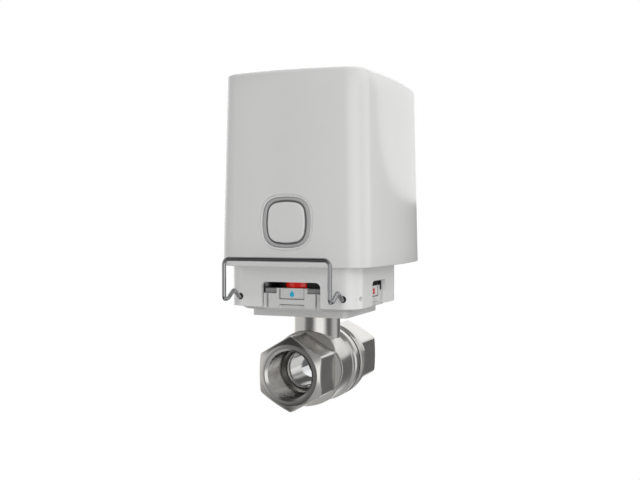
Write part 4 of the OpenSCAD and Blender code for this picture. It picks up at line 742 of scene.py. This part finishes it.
# Button cap
# The cap is the same gloss white ABS as the cover, moulded with a rounded rim that stands a quarter
# of a millimetre proud, a flange that holds it in, and a nub on its back that works the switch.
CAP_PROUD, CAP_RIM = 0.25, 0.45
CAP_BACK, CAP_FLANGE_U, CAP_FLANGE = -28.0, -29.0, 1.1
NUB_R, NUB_FROM, NUB_TO, NUB_EDGE = 1.8, -28.2, -26.25, 0.1


def cap_row(grow, back, flat=None):
    """An outline grown from the edge of the cap."""
    return face_row(grow, back, CAP_W, CAP_H, CAP_CORNER, flat=flat)


cap_rows = [cap_row(CAP_FLANGE, 0, CAP_BACK), cap_row(CAP_FLANGE, 0, CAP_FLANGE_U),
            cap_row(0, 0, CAP_FLANGE_U)]
cap_rows += [cap_row(-CAP_RIM * (1 - math.cos(a)), -CAP_PROUD + CAP_RIM * (1 - math.sin(a)))
             for a in (math.pi / 2 * i / 6 for i in range(7))]
cap_rows += [cap_row(-inset, -CAP_PROUD) for inset in (1.2, 3)]         # over the flat front
button = solids("button_cap_moulding", [cap_rows], gloss_white)
nub = [[(r * math.cos(a), y, BUTTON_Z + r * math.sin(a)) for a in around(48)]
       for y, r in ((NUB_FROM, NUB_R), (NUB_TO - NUB_EDGE, NUB_R), (NUB_TO, NUB_R - NUB_EDGE))]
combine(button, solids("button_nub", [nub], gloss_white), "UNION")
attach(button, "button")
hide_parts("button_cap")

# Wire clip
# One length of bright spring wire, 1.7 mm thick, bent so that its two prongs run through the
# skirt and the posts. Pulling the top bar draws it out and frees the actuator.
WIRE_R, CLIP_X, CLIP_Z, SKIRT_FRONT = 0.85, 21.6, 29.8, -26.45
REACH, BAR_Z, BEND_R = 13.8, 45.1, 2.2
MOST = 0.46             # the most of a straight run that one of its two bends may take
spring_wire = metal("bright_drawn_spring_wire", "#A9AAAC", 0.04, 0.8, 0.01)
leg = [(CLIP_X, SKIRT_FRONT + 9.6, CLIP_Z),             # end of the prong, in the post
       (CLIP_X, SKIRT_FRONT - 1.2, CLIP_Z),             # just outside the skirt
       (CLIP_X, SKIRT_FRONT - 5.6, CLIP_Z + 3.1),       # crest of the kink
       (CLIP_X, SKIRT_FRONT - REACH + 3.4, CLIP_Z),     # foot of the kink
       (CLIP_X, SKIRT_FRONT - REACH, CLIP_Z - 0.3),     # foot of the upright
       (CLIP_X, SKIRT_FRONT - REACH, BAR_Z)]            # corner to the top bar
route = [Vector(p) for p in leg] + [Vector((-x, y, z)) for x, y, z in leg[::-1]]
line = [route[0]]
for before, at, after in zip(route, route[1:], route[2:]):
    p, q = (before - at).normalized(), (after - at).normalized()
    half = p.angle(q) / 2
    reach = min(BEND_R / math.tan(half), MOST * min((before - at).length, (after - at).length))
    radius = reach * math.tan(half)
    middle = at + (p + q).normalized() * radius / math.sin(half)
    u, v = (at + p * reach - middle).normalized(), at + q * reach - middle
    w = (v - u * u.dot(v)).normalized()
    line += [middle + radius * (u * math.cos(t) + w * math.sin(t))
             for t in ((math.pi - 2 * half) * i / 10 for i in range(11))]
line.append(route[-1])
wire_path = bpy.data.curves.new("clip_route", "CURVE")
wire_path.dimensions = "3D"
wire_path.bevel_depth, wire_path.bevel_resolution, wire_path.use_fill_caps = WIRE_R * MM, 8, True
run = wire_path.splines.new("POLY")
run.points.add(len(line) - 1)
for knot, spot in zip(run.points, line):
    knot.co = (spot.x * MM, (spot.y + STEM_Y) * MM, spot.z * MM, 1)
shaped = bpy.data.objects.new("clip_route", wire_path)
scene.collection.objects.link(shaped)
wire_mesh = final_mesh(shaped)
bpy.data.objects.remove(shaped)
wire_mesh.materials.clear()
wire_mesh.materials.append(spring_wire)
smoothed(wire_mesh, 40)
clip = bpy.data.objects.new("locking_clip_wire", wire_mesh)
scene.collection.objects.link(clip)
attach(clip, "clip")
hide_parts("locking_clip")

# Prong hole shade
# Painted shade: the dark rims of the holes in the front of the skirt are shade round the prongs of the clip,
# painted as thin rings of the black nitrile rubber of the seals, where the prongs go through.
HOLE_SHADE_BORE_R, HOLE_SHADE_R, HOLE_SHADE_EDGE = 0.92, 1.32, 0.12
HOLE_SHADE_PROUD, HOLE_SHADE_IN = 0.1, 0.06
hole_shade_rows = ((HOLE_SHADE_IN, HOLE_SHADE_BORE_R), (-HOLE_SHADE_PROUD, HOLE_SHADE_BORE_R),
                (-HOLE_SHADE_PROUD, HOLE_SHADE_R - HOLE_SHADE_EDGE), (HOLE_SHADE_IN, HOLE_SHADE_R))
hole_shades = solids("clip_hole_painted_shade_rings", [
    [[(side * CLIP_X + r * math.cos(t), SKIRT_FRONT + y, CLIP_Z + r * math.sin(t)) for t in around(40)]
     for y, r in hole_shade_rows] for side in (-1, 1)], rubber, "housing", closed=True)
